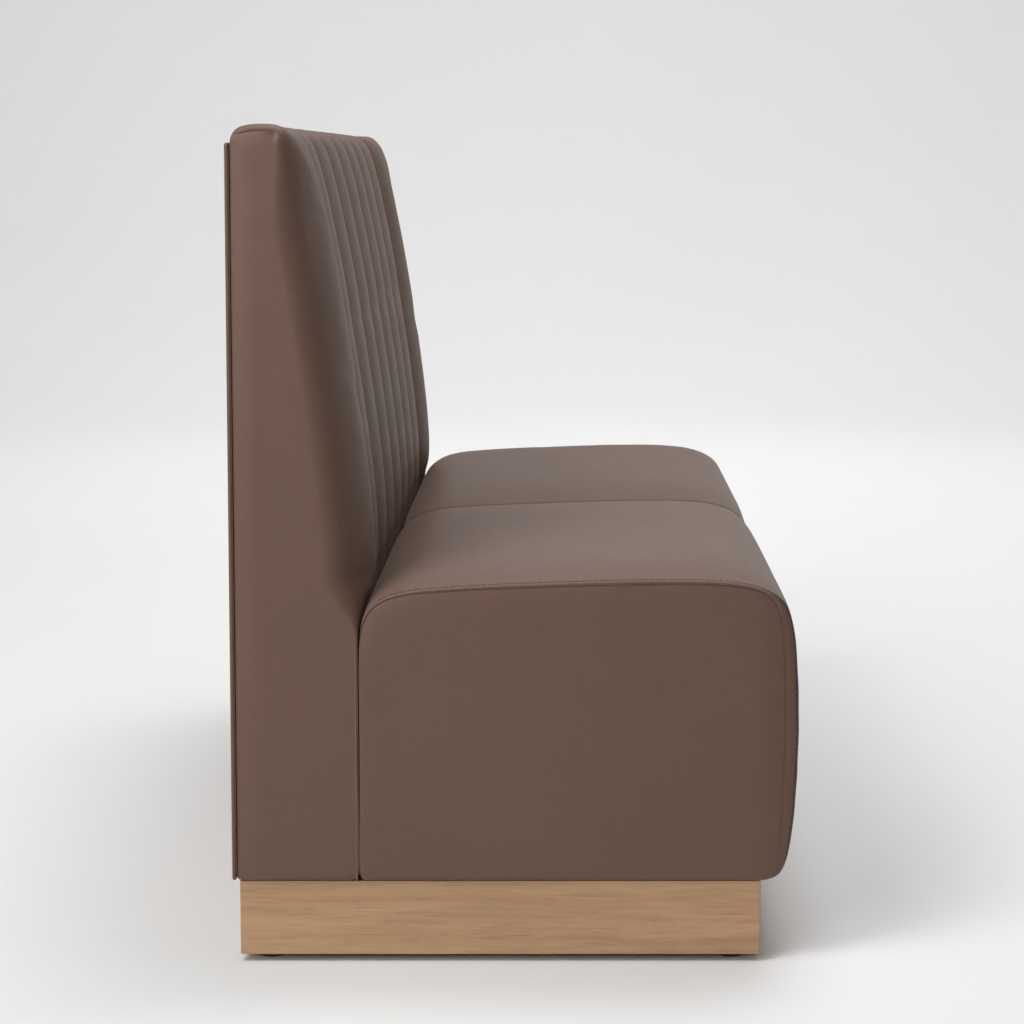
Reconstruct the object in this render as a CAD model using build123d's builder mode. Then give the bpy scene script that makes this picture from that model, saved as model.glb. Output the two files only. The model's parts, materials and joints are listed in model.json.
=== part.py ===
from build123d import *
import math
import os

os.makedirs("parts", exist_ok=True)

# Upholstered restaurant booth bench, single sided, two seat modules in front of one channelled back,
# on an oak plinth with screw levellers. Millimetres. X runs along the bench (left is -X, seen from
# the front), the sitter faces -Y, +Z is up. The origin is the bottom centre of the whole bench.

# ---------------------------------------------------------------- driving dimensions
length = 1524.0            # 60 in overall
half = length / 2          # each seat module is this long
rear_y = 363.0             # rear face of the outside back
front_y = -363.0           # fullest part of the front of the seat
height = 1068.0            # 42 in high back

ply = 18.0                 # frame boards
leather = 3.0              # cover with its backing
foam_gap = 0.5             # between a cover's inside and what fills it
end_panel = 2.7            # end panels of the covers

# plinth
plinth_bottom = 10.0
plinth_top = 105.5
plinth_front = -313.0
plinth_rear = 353.0
plinth_end = half - 6.0    # plinth ends stand 6 mm inside the covers
eased = 1.2                # eased outer corners
block = 37.0               # leveller blocks, square
block_bottom = 16.0
block_top = 90.0
rib_bottom = 20.0
rib_x = 378.0              # ribs either side of the middle one

# levellers
level_x = plinth_end - ply - block / 2
level_y_front = plinth_front + ply + block / 2
level_y_rear = plinth_rear - ply - block / 2
stem_d = 10.0
stem_top = 66.0
run_clear = 0.05           # radial running clearance of the stems
pad_d = 38.0
pad_top = 8.0
captive_d = 14.0           # swaged foot of the stem, held in the pad
collar_af = 17.0           # spanner flats
collar_bottom, collar_top = 9.0, 14.0
insert_d = 13.0
insert_flange_d = 24.0
insert_flange = 1.5
insert_top = 34.0
level_drop = 18.0          # travel of a leveller, 12 turns of 1.5 mm

# seat
seat_rear = 198.5
module_gap = 0.4           # each side of the middle crease
deck_top = 397.0
deck_t = 12.0
seat_front_board = -322.0
seat_rib_x = rib_x
seat_box_bottom = plinth_top + leather + 0.3
end_in = half - leather - 0.4      # outermost plane of the frame
inner_in = module_gap + leather + 0.4

# back
back_front = 202.5         # lower front of the back, behind the seat
back_rear = 353.5
back_end_rib = 745.0       # outer face of the end ribs
lower_board_y = 206.0
lower_board_t = 12.0
kink_z = 430.0             # where the back board starts to lean
board_foot = (246.0, 430.0)
board_head = (306.0, 1030.0)
board_t = 12.0
top_rail_z = 1028.4
pitch = 159.0              # channel pitch
grooves = [pitch * (i - 3.5) for i in range(8)]

# outside back
outer_gap = 1.5
outer_t = 8.0
outer_top = 1046.0
outer_bottom = 107.0
outer_skin = 1.6

# fasteners
bolt_d = 8.0
bolt_hole = 8.4
bolt_x = [-570.0, -190.0, 190.0, 570.0]
bolt_z = [180.0, 340.0]
tee_d = 10.4
screw_d = 4.0

# ---------------------------------------------------------------- side outlines, (y, z)
seat_crest = [
    (198.5, 424.0), (195.2, 445.0), (186.5, 461.0), (170.0, 472.5), (148.0, 480.0), (108.0, 486.5),
    (58.0, 491.5), (0.0, 495.5), (-60.0, 498.5), (-120.0, 500.5), (-180.0, 501.5), (-230.0, 500.5),
    (-270.0, 497.0), (-300.0, 490.5), (-322.0, 481.5), (-337.5, 469.5), (-345.5, 456.0), (-352.0, 436.0),
    (-357.3, 408.0), (-360.6, 380.0), (-362.4, 350.0), (-363.0, 315.0), (-362.2, 268.0), (-360.6, 228.0),
    (-357.6, 192.0), (-352.6, 158.0), (-346.4, 130.0), (-339.5, 114.5), (-329.5, 106.8), (-318.0, 105.5),
]
seat_end_outline = [
    (198.5, 412.0), (195.0, 434.0), (186.0, 449.5), (173.0, 460.5), (150.0, 468.5), (113.0, 475.0),
    (60.0, 480.0), (0.0, 484.0), (-60.0, 486.5), (-130.0, 488.5), (-200.0, 489.0), (-250.0, 488.0),
    (-284.0, 485.0), (-308.0, 479.0), (-323.0, 470.5), (-331.0, 452.0), (-338.0, 420.0), (-342.5, 370.0),
    (-343.6, 315.0), (-341.6, 255.0), (-338.6, 175.0), (-334.7, 131.0), (-322.0, 105.5),
]
back_crest = [
    (202.5, 438.0), (200.3, 457.0), (198.0, 480.0), (197.6, 515.0), (201.4, 569.0), (209.4, 644.0),
    (219.0, 718.0), (230.0, 793.0), (242.2, 867.0), (255.2, 936.0), (266.4, 990.0), (276.0, 1031.0),
    (283.2, 1050.0), (290.0, 1060.0), (298.5, 1065.8), (311.0, 1068.0), (333.0, 1066.9), (344.0, 1063.4),
    (350.4, 1057.6), (353.5, 1049.0),
]


def shifted(points, d):
    """The same open run of points, moved sideways by d, to the left of its direction."""
    out = []
    for i, (y, z) in enumerate(points):
        a = points[max(i - 1, 0)]
        b = points[min(i + 1, len(points) - 1)]
        ty, tz = b[0] - a[0], b[1] - a[1]
        n = math.hypot(ty, tz)
        out.append((y - tz / n * d, z + ty / n * d))
    return out


def place_x(x):
    """A plane across the bench at x: its local X is +Y and its local Y is +Z, so it extrudes to +X."""
    return Plane(origin=(x, 0, 0), x_dir=(0, 1, 0), z_dir=(1, 0, 0))


def seat_points(d):
    run = shifted(seat_crest, d)
    run[0] = (seat_rear - d, run[0][1])
    run[-1] = (run[-1][0], plinth_top + d)
    return run


def back_points(d):
    run = shifted(back_crest, -d)
    run[0] = (back_front + d, run[0][1])
    run[-1] = (back_rear - d, run[-1][1])
    return run


def closed_over(run, bottom):
    """Outline edges: a smooth line through the run, closed by straight sides at the bottom."""
    Spline(*run)
    first, last = run[0], run[-1]
    if abs(last[1] - bottom) < 1e-6:
        Polyline(last, (first[0], bottom), first)
    else:
        Polyline(last, (last[0], bottom), (first[0], bottom), first)


def save(piece, name):
    piece.part.label = name
    export_step(piece.part, f"parts/{name}.step")
    return piece


# ================================================================ plinth
pf, pr, pe = plinth_front, plinth_rear, plinth_end

for name, yo, yi in (("plinth_front_board", pf, pf + ply), ("plinth_rear_board", pr, pr - ply)):
    s = 1 if yi > yo else -1
    with BuildPart() as board:
        with BuildSketch(Plane.XY.offset(plinth_bottom)):
            with BuildLine():
                Polyline(
                    (-pe + eased, yo), (pe - eased, yo), (pe - eased / 2, yo + s * eased / 2),
                    (pe - ply, yi), (-pe + ply, yi), (-pe + eased / 2, yo + s * eased / 2), close=True,
                )
            make_face()
        extrude(amount=plinth_top - plinth_bottom)
    save(board, name)

for name, s in (("plinth_left_board", -1), ("plinth_right_board", 1)):
    with BuildPart() as board:
        with BuildSketch(Plane.XY.offset(plinth_bottom)):
            with BuildLine():
                Polyline(
                    (s * pe, pf + eased), (s * (pe - eased / 2), pf + eased / 2), (s * (pe - ply), pf + ply),
                    (s * (pe - ply), pr - ply), (s * (pe - eased / 2), pr - eased / 2), (s * pe, pr - eased),
                    close=True,
                )
            make_face()
        extrude(amount=plinth_top - plinth_bottom)
    save(board, name)

# flat steel plates join each plinth rib to the ribs that stand on it: (x of the plate's outer face, side, y)
plate_w, plate_h, plate_t = 60.0, 60.0, 2.0
plate_spots = []
for sx in (-1, 1):
    for py in (-180.0, 60.0, 285.0):
        plate_spots.append((sx * (rib_x - ply / 2), -sx, py))
plate_spots.append((ply / 2, 1, 262.0))
plate_z = plinth_top
screw_spots = []
for px, side, py in plate_spots:
    for dy in (-18.0, 18.0):
        for dz in (-18.0, 18.0):
            screw_spots.append((px, side, py + dy, plate_z + dz))

with BuildPart() as joining_plates:
    for px, side, py in plate_spots:
        with Locations((px + side * plate_t / 2, py, plate_z)):
            Box(plate_t, plate_w, plate_h)
    for px, side, sy, sz in screw_spots:
        with Locations(Location((px + side * plate_t / 2, sy, sz), (0, 90, 0))):
            Cylinder(screw_d / 2, plate_t + 2, mode=Mode.SUBTRACT)
save(joining_plates, "joining_plates")

with BuildPart() as joining_plate_screws:
    for px, side, sy, sz in screw_spots:
        with Locations(Location((px - side * 5.0 + side * plate_t / 2, sy, sz), (0, 90, 0))):
            Cylinder(screw_d / 2, 10.0 + plate_t)
        with Locations(Location((px + side * (plate_t + 1.0), sy, sz), (0, 90, 0))):
            Cylinder(4.0, 2.0)
save(joining_plate_screws, "joining_plate_screws")


def drill_for_screws(x):
    """Pilot holes of the plate screws in the rib at x."""
    for px, side, sy, sz in screw_spots:
        if abs(px - x) < ply:
            with Locations(Location((px - side * 5.0, sy, sz), (0, 90, 0))):
                Cylinder(screw_d / 2, 10.0, mode=Mode.SUBTRACT)


with BuildPart() as plinth_cross_ribs:
    for x, y0, y1 in (
        (-rib_x, pf + ply, pr - ply), (0.0, pf + ply + block, pr - ply - block), (rib_x, pf + ply, pr - ply),
    ):
        with Locations((x, (y0 + y1) / 2, (rib_bottom + plinth_top) / 2)):
            Box(ply, y1 - y0, plinth_top - rib_bottom)
        drill_for_screws(x)
save(plinth_cross_ribs, "plinth_cross_ribs")

leveller_spots = [(x, y) for y in (level_y_front, level_y_rear) for x in (-level_x, 0.0, level_x)]
leveller_names = [f"{a}_{b}" for a in ("front", "rear") for b in ("left", "centre", "right")]

with BuildPart() as plinth_leveller_blocks:
    for x, y in leveller_spots:
        with Locations((x, y, (block_bottom + block_top) / 2)):
            Box(block, block, block_top - block_bottom)
        with Locations((x, y, (block_bottom + insert_top) / 2)):
            Cylinder(insert_d / 2, insert_top - block_bottom, mode=Mode.SUBTRACT)
        with Locations((x, y, (insert_top + stem_top + 4) / 2)):
            Cylinder(stem_d / 2 + 0.75, stem_top + 4 - insert_top, mode=Mode.SUBTRACT)
save(plinth_leveller_blocks, "plinth_leveller_blocks")

with BuildPart() as leveller_inserts:
    for x, y in leveller_spots:
        with Locations((x, y, (block_bottom + insert_top) / 2)):
            Cylinder(insert_d / 2, insert_top - block_bottom)
        with Locations((x, y, block_bottom - insert_flange / 2)):
            Cylinder(insert_flange_d / 2, insert_flange)
        with Locations((x, y, (block_bottom - insert_flange + insert_top) / 2)):
            Cylinder(stem_d / 2 + run_clear, insert_top - block_bottom + insert_flange + 2, mode=Mode.SUBTRACT)
save(leveller_inserts, "leveller_inserts")

with BuildPart() as dust_covers:
    for x0, x1 in ((-737.0, -390.0), (-364.0, -15.0), (15.0, 364.0), (390.0, 737.0)):
        with Locations(((x0 + x1) / 2, (pf + pr) / 2, plinth_top - 0.6)):
            Box(x1 - x0, pr - pf - 2 * ply - 2, 1.0)
save(dust_covers, "dust_covers")

# ---------------------------------------------------------------- levellers
for (x, y), where in zip(leveller_spots, leveller_names):
    with BuildPart() as pad:
        with BuildSketch(Plane(origin=(x, y, 0), x_dir=(1, 0, 0), z_dir=(0, -1, 0))):
            with BuildLine():
                Polyline(
                    (0, 0), (pad_d / 2 - 2, 0), (pad_d / 2, 2), (pad_d / 2, 5.5), (pad_d / 2 - 2.5, pad_top),
                    (stem_d / 2 + run_clear, pad_top), (stem_d / 2 + run_clear, 5.4),
                    (captive_d / 2 + run_clear, 5.4), (captive_d / 2 + run_clear, 2.9), (0, 2.9), close=True,
                )
            make_face()
        revolve(axis=Axis((x, y, 0), (0, 0, 1)))
    save(pad, f"leveller_pad_{where}")

    with BuildPart() as stem:
        with BuildSketch(Plane.XY.offset(3.0)):
            with Locations((x, y)):
                Circle(captive_d / 2)
        extrude(amount=2.3)
        with BuildSketch(Plane.XY.offset(5.0)):
            with Locations((x, y)):
                Circle(stem_d / 2)
        extrude(amount=stem_top - 5.0)
        chamfer(stem.faces().sort_by(Axis.Z)[-1].edges(), 1.0)
        with BuildSketch(Plane.XY.offset(collar_bottom)):
            with Locations((x, y)):
                RegularPolygon(collar_af / 2, 6, major_radius=False)
        extrude(amount=collar_top - collar_bottom)
    save(stem, f"leveller_stem_{where}")

# ================================================================ seat modules
for side, s in (("left", -1), ("right", 1)):
    def span(a, b):
        """The two ends of a piece of this module, given as distances from the middle, lowest x first."""
        return (min(s * a, s * b), max(s * a, s * b))

    def board_box(a, b, y0, y1, z0, z1, mode=Mode.ADD):
        x0, x1 = span(a, b)
        with Locations(((x0 + x1) / 2, (y0 + y1) / 2, (z0 + z1) / 2)):
            Box(x1 - x0, y1 - y0, z1 - z0, mode=mode)

    deck_bottom = deck_top - deck_t
    board_top = deck_bottom - 0.1
    seat_rear_in = seat_rear - leather - foam_gap

    with BuildPart() as piece:
        board_box(inner_in + ply, end_in - ply, seat_front_board, seat_front_board + ply, seat_box_bottom, board_top)
    save(piece, f"seat_{side}_front_board")

    with BuildPart() as piece:
        board_box(inner_in + ply, end_in - ply, seat_rear_in - ply, seat_rear_in, seat_box_bottom, board_top)
        for bx in bolt_x:
            if bx * s > 0:
                for bz in bolt_z:
                    with Locations(Location((bx, seat_rear_in - ply / 2, bz), (90, 0, 0))):
                        Cylinder(bolt_hole / 2, ply + 2, mode=Mode.SUBTRACT)
                    with Locations(Location((bx, seat_rear_in - ply + 5.5, bz), (90, 0, 0))):
                        Cylinder(tee_d / 2, 11.0, mode=Mode.SUBTRACT)
    save(piece, f"seat_{side}_rear_board")

    with BuildPart() as piece:
        board_box(end_in - ply, end_in, seat_front_board, seat_rear_in, seat_box_bottom, board_top)
    save(piece, f"seat_{side}_outer_board")

    with BuildPart() as piece:
        board_box(inner_in, inner_in + ply, seat_front_board, seat_rear_in, seat_box_bottom, board_top)
    save(piece, f"seat_{side}_inner_board")

    with BuildPart() as piece:
        board_box(
            seat_rib_x - ply / 2, seat_rib_x + ply / 2, seat_front_board + ply, seat_rear_in - ply, plinth_top, board_top
        )
        drill_for_screws(s * seat_rib_x)
    save(piece, f"seat_{side}_centre_rib")

    with BuildPart() as piece:
        board_box(inner_in, end_in, seat_front_board, seat_rear_in, deck_bottom, deck_top)
        for vx in (190.0, 570.0):
            for vy in (-170.0, 40.0):
                with Locations((s * vx, vy, deck_top - deck_t / 2)):
                    Cylinder(25.0, deck_t + 2, mode=Mode.SUBTRACT)
    save(piece, f"seat_{side}_deck")

    x0, x1 = span(inner_in, end_in)
    with BuildPart() as piece:
        with BuildSketch(place_x(x0)):
            with BuildLine():
                closed_over(seat_points(leather + foam_gap), plinth_top + leather + foam_gap)
            make_face()
            with BuildLine():
                Polyline((-400, 0), (300, 0), (300, deck_top + 0.3), (-400, deck_top + 0.3), close=True)
            make_face(mode=Mode.SUBTRACT)
        extrude(amount=x1 - x0)
    save(piece, f"seat_{side}_foam")

    with BuildPart() as piece:
        with BuildSketch(place_x(x0)):
            with BuildLine():
                closed_over(seat_points(leather + foam_gap), plinth_top + leather + foam_gap)
            make_face()
            with BuildLine():
                Polyline(
                    (seat_front_board - 0.3, 0), (300, 0), (300, 600), (-500, 600), (-500, deck_top - 0.2),
                    (seat_front_board - 0.3, deck_top - 0.2), close=True,
                )
            make_face(mode=Mode.SUBTRACT)
        extrude(amount=x1 - x0)
    save(piece, f"seat_{side}_front_foam")

    # cover: top, front, rear and inner side in one, open at the outer end and underneath
    x0, x1 = span(module_gap, half - end_panel - 0.1)
    c0, c1 = span(module_gap + leather, half + 5)
    with BuildPart() as piece:
        with BuildSketch(place_x(x0)):
            with BuildLine():
                closed_over(seat_points(0.0), plinth_top)
            make_face()
        extrude(amount=x1 - x0)
        with BuildSketch(place_x(c0)):
            with BuildLine():
                closed_over(seat_points(leather), plinth_top + leather)
            make_face()
        extrude(amount=c1 - c0, mode=Mode.SUBTRACT)
        board_box(
            30.0, half - 30.0, seat_front_board + ply - 0.5, seat_rear_in - ply + 0.5, plinth_top - 5, plinth_top + 10,
            mode=Mode.SUBTRACT,
        )
        for bx in bolt_x:
            if bx * s > 0:
                for bz in bolt_z:
                    with Locations(Location((bx, seat_rear - leather / 2, bz), (90, 0, 0))):
                        Cylinder(bolt_hole / 2, leather + 2, mode=Mode.SUBTRACT)
    save(piece, f"seat_{side}_cover")

    x0, x1 = span(half - end_panel, half)
    with BuildPart() as piece:
        with BuildSketch(place_x(x0)):
            with BuildLine():
                closed_over(seat_end_outline, plinth_top)
            make_face()
        extrude(amount=x1 - x0)
    save(piece, f"seat_{side}_end_panel")

# ================================================================ back
rib_rear = back_rear - leather - 0.5


def rib_outline(bottom):
    Polyline(
        (rib_rear, bottom), (lower_board_y + lower_board_t + 0.2, bottom),
        (lower_board_y + lower_board_t + 0.2, kink_z - 1), (board_foot[0] + 0.3, kink_z - 1),
        (board_head[0] + 0.3, top_rail_z - 0.2), (rib_rear, top_rail_z - 0.2), close=True,
    )


lumbar_y0, lumbar_y1 = lower_board_y + lower_board_t + 0.2, lower_board_y + lower_board_t + 0.2 + ply
lumbar_z0, lumbar_z1 = kink_z - 51.0, kink_z - 1.0


def lumbar_notch(x):
    with Locations((x, (lumbar_y0 + lumbar_y1) / 2, (lumbar_z0 + lumbar_z1) / 2)):
        Box(ply + 4, lumbar_y1 - lumbar_y0 + 0.4, lumbar_z1 - lumbar_z0 + 0.4, mode=Mode.SUBTRACT)


for name, x in (("back_left_end_rib", -back_end_rib), ("back_right_end_rib", back_end_rib - ply)):
    with BuildPart() as piece:
        with BuildSketch(place_x(x)):
            with BuildLine():
                rib_outline(plinth_top + leather + 0.3)
            make_face()
        extrude(amount=ply)
        lumbar_notch(x + ply / 2)
    save(piece, name)

with BuildPart() as back_middle_ribs:
    for x in (-rib_x, 0.0, rib_x):
        with BuildSketch(place_x(x - ply / 2)):
            with BuildLine():
                rib_outline(plinth_top)
            make_face()
        extrude(amount=ply)
        lumbar_notch(x)
        drill_for_screws(x)
save(back_middle_ribs, "back_middle_ribs")

with BuildPart() as back_lumbar_rail:
    with Locations((0, (lumbar_y0 + lumbar_y1) / 2, (lumbar_z0 + lumbar_z1) / 2)):
        Box(2 * back_end_rib, lumbar_y1 - lumbar_y0, lumbar_z1 - lumbar_z0)
save(back_lumbar_rail, "back_lumbar_rail")

with BuildPart() as back_top_rail:
    with Locations((0, (304.0 + rib_rear) / 2, top_rail_z + ply / 2)):
        Box(2 * back_end_rib, rib_rear - 304.0, ply)
save(back_top_rail, "back_top_rail")

with BuildPart() as back_lower_board:
    with Locations((0, lower_board_y + lower_board_t / 2, (seat_box_bottom + kink_z - 1) / 2)):
        Box(2 * back_end_rib, lower_board_t, kink_z - 1 - seat_box_bottom)
    for bx in bolt_x:
        for bz in bolt_z:
            with Locations(Location((bx, lower_board_y + lower_board_t / 2, bz), (90, 0, 0))):
                Cylinder(bolt_hole / 2, lower_board_t + 2, mode=Mode.SUBTRACT)
save(back_lower_board, "back_lower_board")

lean = math.atan2(board_head[0] - board_foot[0], board_head[1] - board_foot[1])
nx, nz = -math.cos(lean) * board_t, math.sin(lean) * board_t
with BuildPart() as back_front_board:
    with BuildSketch(place_x(-back_end_rib)):
        with BuildLine():
            Polyline(
                board_foot, (board_head[0], board_head[1] - 1.9), (board_head[0] + nx, board_head[1] + nz - 1.9),
                (board_foot[0] + nx, board_foot[1] + nz), close=True,
            )
        make_face()
    extrude(amount=2 * back_end_rib)
save(back_front_board, "back_front_board")

foam_edges = [-back_end_rib] + grooves + [back_end_rib]
with BuildPart() as back_channel_foams:
    for a, b in zip(foam_edges[:-1], foam_edges[1:]):
        with BuildSketch(place_x(a + 1.5)):
            with BuildLine():
                closed_over(back_points(leather + foam_gap), plinth_top)
            make_face()
            with BuildLine():
                Polyline(
                    (150, 50), (150, kink_z + 2.0), (board_foot[0] + nx - 0.4, kink_z + 2.0),
                    (board_head[0] + nx - 0.4, board_head[1] + 1.5), (303.6, board_head[1] + 1.5),
                    (303.6, top_rail_z + ply + 0.3), (400, top_rail_z + ply + 0.3), (400, 50), close=True,
                )
            make_face(mode=Mode.SUBTRACT)
        extrude(amount=b - a - 3.0)
save(back_channel_foams, "back_channel_foams")

with BuildPart() as back_side_foams:
    for x in (-(end_in + 0.1), back_end_rib + 0.4):
        with BuildSketch(place_x(x)):
            with BuildLine():
                closed_over(back_points(leather + 1.5), plinth_top + leather + 1.5)
            make_face()
        extrude(amount=end_in + 0.1 - back_end_rib - 0.4)
save(back_side_foams, "back_side_foams")

# front cover: lower front, channelled front and top in one, turned under at the bottom and over the rear edge
with BuildPart() as back_front_cover:
    with BuildSketch(place_x(-(half - end_panel - 0.1))):
        with BuildLine():
            closed_over(back_points(0.0), plinth_top)
        make_face()
    extrude(amount=2 * (half - end_panel - 0.1))
    with BuildSketch(place_x(-half - 5)):
        with BuildLine():
            closed_over(back_points(leather), plinth_top + leather)
        make_face()
    extrude(amount=2 * half + 10, mode=Mode.SUBTRACT)
    with Locations((0, (345.0 + 400.0) / 2, (50.0 + 1000.0) / 2)):
        Box(2 * half + 10, 55.0, 950.0, mode=Mode.SUBTRACT)
    with Locations((0, (lower_board_y + lower_board_t - 0.5 + 400.0) / 2, (50.0 + 110.0) / 2)):
        Box(2 * half + 10, 400.0 - lower_board_y - lower_board_t + 0.5, 60.0, mode=Mode.SUBTRACT)
    for bx in bolt_x:
        for bz in bolt_z:
            with Locations(Location((bx, back_front + leather / 2, bz), (90, 0, 0))):
                Cylinder(bolt_hole / 2, leather + 2, mode=Mode.SUBTRACT)
    # the sewn lines between the channels
    for gx in grooves:
        with BuildSketch(place_x(gx - 1.2)):
            with BuildLine():
                closed_over(back_points(-2.0), plinth_top - 2.0)
            make_face()
            with BuildLine():
                closed_over(back_points(1.6), plinth_top + 1.6)
            make_face(mode=Mode.SUBTRACT)
            with BuildLine():
                Polyline((150, 50), (150, 470), (280, 470), (280, 1000), (345, 1000), (345, 1045), (420, 1045), (420, 50),
                         close=True)
            make_face(mode=Mode.SUBTRACT)
        extrude(amount=2.4, mode=Mode.SUBTRACT)
save(back_front_cover, "back_front_cover")

for name, x in (("back_left_end_panel", -half), ("back_right_end_panel", half - end_panel)):
    with BuildPart() as piece:
        with BuildSketch(place_x(x)):
            with BuildLine():
                closed_over(back_points(4.0), plinth_top)
            make_face()
        extrude(amount=end_panel)
    save(piece, name)

# ---------------------------------------------------------------- outside back
oy0 = back_rear + outer_gap
oz_mid = (outer_bottom + outer_top) / 2
o_half = half - 2.0
with BuildPart() as outside_back_cover:
    with Locations((0, oy0 + outer_t / 2, oz_mid)):
        Box(2 * o_half, outer_t, outer_top - outer_bottom)
    fillet(outside_back_cover.edges().filter_by(Axis.Y), 12.0)
    fillet(outside_back_cover.faces().sort_by(Axis.Y)[-1].edges(), 3.0)
    with Locations((0, oy0 + outer_t / 2, oz_mid)):
        Box(2 * (o_half - outer_skin), outer_t - 2 * outer_skin, outer_top - outer_bottom - 2 * outer_skin,
            mode=Mode.SUBTRACT)
    with Locations((0, oy0, oz_mid)):
        Box(2 * (back_end_rib + 1), 2 * outer_skin + 1, outer_top - outer_bottom - 30.0, mode=Mode.SUBTRACT)
save(outside_back_cover, "outside_back_cover")

with BuildPart() as outside_back_board:
    with Locations((0, oy0 + outer_t / 2, oz_mid)):
        Box(2 * (o_half - outer_skin - 0.3), outer_t - 2 * outer_skin - 0.4, outer_top - outer_bottom - 2 * outer_skin - 0.6)
    fillet(outside_back_board.edges().filter_by(Axis.Y), 12.0)
save(outside_back_board, "outside_back_board")

clip_y0, clip_y1 = rib_rear, oy0 + outer_skin + 0.2
with BuildPart() as outside_back_clips:
    for x in (-(back_end_rib - ply / 2), -rib_x, 0.0, rib_x, back_end_rib - ply / 2):
        for z in (250.0, 600.0, 940.0):
            with Locations((x, (clip_y0 + clip_y1) / 2, z)):
                Box(15.0, clip_y1 - clip_y0, 40.0)
save(outside_back_clips, "outside_back_clips")

# ---------------------------------------------------------------- welts, bolts, nuts
welt_d = 3.6
with BuildPart() as end_welts:
    for s in (-1, 1):
        with BuildSketch(Plane.XY.offset(plinth_top + 1)):
            with Locations((s * (half - welt_d / 2 - 0.2), (seat_rear + back_front) / 2)):
                Circle(welt_d / 2)
        extrude(amount=428.0 - plinth_top - 1)
save(end_welts, "end_welts")

with BuildPart() as back_to_seat_bolts:
    for bx in bolt_x:
        for bz in bolt_z:
            y_head = lower_board_y + lower_board_t
            y_tip = seat_rear - leather - foam_gap - ply - 6.0
            with Locations(Location((bx, (y_head + y_tip) / 2, bz), (90, 0, 0))):
                Cylinder(bolt_d / 2, y_head - y_tip)
            with Locations(Location((bx, y_head + 0.8, bz), (90, 0, 0))):
                Cylinder(11.0, 1.6)
            with Locations(Location((bx, y_head + 1.6 + 2.7, bz), (90, 0, 0))):
                Cylinder(7.5, 5.4)
save(back_to_seat_bolts, "back_to_seat_bolts")

with BuildPart() as back_to_seat_tee_nuts:
    for bx in bolt_x:
        for bz in bolt_z:
            y_face = seat_rear - leather - foam_gap - ply
            with Locations(Location((bx, y_face + 5.5, bz), (90, 0, 0))):
                Cylinder(tee_d / 2, 11.0)
            with Locations(Location((bx, y_face - 0.8, bz), (90, 0, 0))):
                Cylinder(11.0, 1.6)
            with Locations(Location((bx, y_face + 4.0, bz), (90, 0, 0))):
                Cylinder(bolt_d / 2 + 0.02, 30.0, mode=Mode.SUBTRACT)
save(back_to_seat_tee_nuts, "back_to_seat_tee_nuts")
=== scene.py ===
import json
import math

import bmesh
import bpy
import numpy as np
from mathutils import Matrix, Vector


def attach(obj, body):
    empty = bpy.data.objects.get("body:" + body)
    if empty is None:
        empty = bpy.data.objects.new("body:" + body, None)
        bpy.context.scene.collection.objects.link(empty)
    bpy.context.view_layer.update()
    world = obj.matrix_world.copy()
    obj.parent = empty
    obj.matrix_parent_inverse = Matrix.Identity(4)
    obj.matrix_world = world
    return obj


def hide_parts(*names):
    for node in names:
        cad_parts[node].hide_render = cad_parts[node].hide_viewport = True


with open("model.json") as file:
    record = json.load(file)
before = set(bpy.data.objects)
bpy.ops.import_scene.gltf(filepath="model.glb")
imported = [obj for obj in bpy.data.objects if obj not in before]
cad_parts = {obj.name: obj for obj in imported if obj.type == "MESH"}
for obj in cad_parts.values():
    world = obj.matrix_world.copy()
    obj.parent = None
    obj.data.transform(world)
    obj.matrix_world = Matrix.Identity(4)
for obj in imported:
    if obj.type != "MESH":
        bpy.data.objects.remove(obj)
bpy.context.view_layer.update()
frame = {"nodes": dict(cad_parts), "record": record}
NODES = frame["nodes"]
BENCH = "bench"

MM = 0.001
HALF = 762.0          # half the bench's length
GROOVES = [159.0 * (i - 3.5) for i in range(8)]


# ============================================================ curves and grids
def spline(points, n, spacing=None):
    """n points on a smooth curve through points, evenly spaced along it (or at the given fractions)."""
    p = np.array(points, float)
    q = np.vstack([2 * p[0] - p[1], p, 2 * p[-1] - p[-2]])
    dense = []
    for i in range(1, len(q) - 2):
        p0, p1, p2, p3 = q[i - 1], q[i], q[i + 1], q[i + 2]
        d1 = max(np.linalg.norm((p1 - p0)) ** 0.5, 1e-6)
        d2 = max(np.linalg.norm((p2 - p1)) ** 0.5, 1e-6)
        d3 = max(np.linalg.norm((p3 - p2)) ** 0.5, 1e-6)
        m1 = (p1 - p0) / d1 - (p2 - p0) / (d1 + d2) + (p2 - p1) / d2
        m2 = (p2 - p1) / d2 - (p3 - p1) / (d2 + d3) + (p3 - p2) / d3
        m1, m2 = m1 * d2, m2 * d2
        t = np.linspace(0, 1, 24, endpoint=False)[:, None]
        dense.append(
            (2 * t ** 3 - 3 * t ** 2 + 1) * p1 + (t ** 3 - 2 * t ** 2 + t) * m1
            + (-2 * t ** 3 + 3 * t ** 2) * p2 + (t ** 3 - t ** 2) * m2
        )
    dense = np.vstack(dense + [p[-1][None, :]])
    return resample(dense, n, spacing)


def resample(line, n, spacing=None):
    seg = np.linalg.norm(np.diff(line, axis=0), axis=1)
    s = np.concatenate([[0], np.cumsum(seg)])
    at = (np.linspace(0, 1, n) if spacing is None else np.asarray(spacing)) * s[-1]
    return np.stack([np.interp(at, s, line[:, k]) for k in range(line.shape[1])], axis=1)


def smooth(line, times):
    out = line.copy()
    for _ in range(times):
        out[1:-1] = 0.25 * out[:-2] + 0.5 * out[1:-1] + 0.25 * out[2:]
    return out


def step(a, b, x):
    t = np.clip((np.asarray(x, float) - a) / (b - a), 0, 1)
    return t * t * (3 - 2 * t)


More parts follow.
